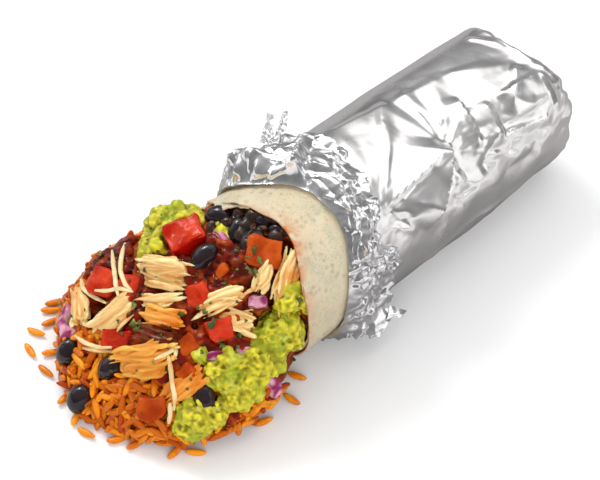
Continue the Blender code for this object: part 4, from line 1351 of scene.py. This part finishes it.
points, faces = [], []
for path in CHEESE:
    ends = np.array(path, dtype=float)
    steps = np.linspace(0, len(ends) - 1, 8 * (len(ends) - 1) + 1)
    route = np.stack([np.interp(steps, range(len(ends)), ends[:, axis]) for axis in range(3)], axis=1)
    for _ in range(6):
        route[1:-1] = (route[:-2] + 2 * route[1:-1] + route[2:]) / 4
    laid_on = [seen_place(top_tree, at_mouth(*place)) for place in route]
    depths = np.array([(spot - at_mouth(*place)).dot(look) for (spot, normal), place in zip(laid_on, route)])
    for _ in range(14):  # the shred is stiff, so it bridges small gaps
        depths[1:-1] = np.maximum(depths[1:-1], (depths[:-2] + depths[2:]) / 2)
    for _ in range(4):
        depths[1:-1] = (depths[:-2] + 2 * depths[1:-1] + depths[2:]) / 4
    centre = [at_mouth(*place) + look * (depth + 0.5 * MM) for place, depth in zip(route, depths)]
    count, base = len(centre), len(points)
    for step in range(count):
        tangent = (centre[min(step + 1, count - 1)] - centre[max(step - 1, 0)]).normalized()
        side = tangent.cross(Vector((0, 0, 1))).normalized()
        up = side.cross(tangent)
        thick = 0.98 * MM * min(1.0, 0.45 + 2.5 * min(step, count - 1 - step) / count)
        for k in range(8):
            a = k * math.tau / 8 + 0.4
            points.append(centre[step] + (side * math.cos(a) * 1.15 + up * math.sin(a) * 0.8) * thick)
    faces.extend(tube_faces(base, count))
cheese = mesh_object("cheese_shreds", points, faces)
add_modifier(cheese, "SUBSURF", levels=1, render_levels=1)
roughen(cheese, ("noise", 2.0, 0.12))
cheese_skin, tree, shader, place = new_material("mild_cheese", Roughness=0.4, Specular_IOR_Level=0.45,
                                                Subsurface_Weight=0.5, Subsurface_Scale=0.003)
colour_in(tree, shader, mottle(tree, place, (0.90, 0.68, 0.38), (0.84, 0.50, 0.18), 200, 3.0, 0.45, 0.7))
bumps(tree, shader, place, (600, 3.0, 0.3, 0.2))
finish(cheese, cheese_skin, "rice_filling")

deselect_all()
bpy.ops.mesh.primitive_circle_add(vertices=11, radius=1, fill_type="TRIFAN")
leaf = bpy.context.object
leaf_points = get_points(leaf)
ragged = np.array([0.75, 1.15, 0.9, 1.05, 0.65, 0.95, 1.2, 0.85, 1.05, 0.7, 0.9, 0])[:len(leaf_points)]
leaf_points = leaf_points * ragged[:, None]
leaf_points[:, 2] = 0.35 * leaf_points[:, 0] ** 2 - 0.2 * leaf_points[:, 1] ** 2
leaf_faces = [tuple(face.vertices) for face in leaf.data.polygons]
bpy.data.objects.remove(leaf)
matrices, tones = [], []
rng = np.random.default_rng(31)
for spot, normal in scatter_on(top_tree, heap_low, heap_high, 3.4 * MM, 1500,
                               lambda spot: spot.y < MOUTH_Y + 2 * MM and spot.z > 10 * MM):
    if rng.random() < 0.82:
        continue
    lean = Vector(rng.normal(0, 1, 3))
    size = rng.uniform(0.4, 1.15) * MM
    matrices.append(turned(spot + normal * 0.35 * MM, lean - normal * lean.dot(normal) * 0.9,
                           (normal + lean * 0.25).normalized(), (size * rng.uniform(0.9, 1.6), size, size)))
    tones.append(rng.random() ** 2)
for x, distance, z, size, tone in ((-16, 49, 35, 3.0, 1.0), (-14, 50, 34, 2.2, 0.8), (11, 32, 44, 2.8, 0.1),
                                   (6, 19, 54, 2.0, 0.1), (14, 10, 59, 2.2, 0.3), (19, 35, 40, 2.4, 0.4),
                                   (-22, 45, 37, 2.6, 0.6), (2, 9, 62, 1.8, 0.1), (-1, 37, 44, 2.2, 0.2),
                                   (11, 11, 59, 2.4, 0.5), (31, 3, 51, 2.8, 0.3), (8, 5, 64, 2.0, 0.1),
                                   (12, 6, 62, 2.0, 0.6), (22, 28, 42, 2.2, 0.3)):
    spot, normal = seen_place(top_tree, at_mouth(x, distance, z))
    lean = Vector(rng.normal(0, 1, 3))
    sizes = size * 1.1 * MM, size * 0.55 * MM, size * 0.7 * MM
    matrices.append(turned(spot + normal * 0.5 * MM, lean - normal * lean.dot(normal) * 0.9,
                           (normal + lean * 0.15).normalized(), sizes))
    tones.append(tone)
herbs = join_copies("herb_leaves", leaf_points, leaf_faces, matrices, {"tone": tones})
add_modifier(herbs, "SOLIDIFY", thickness=0.18 * MM, offset=0)
herb_skin, tree, shader, place = new_material("green_herb", Roughness=0.4, Specular_IOR_Level=0.5,
                                              Subsurface_Weight=0.2, Subsurface_Scale=0.001)
colour = mix_colours(tree, attribute(tree, "tone"), (0.025, 0.065, 0.006), (0.22, 0.32, 0.06))
colour_in(tree, shader, mottle(tree, place, colour, (0.05, 0.05, 0.01), 400, 3.0, 0.45, 0.6, 0.5))
bumps(tree, shader, place, (900, 3.0, 0.5, 0.2))
finish(herbs, herb_skin, "rice_filling")
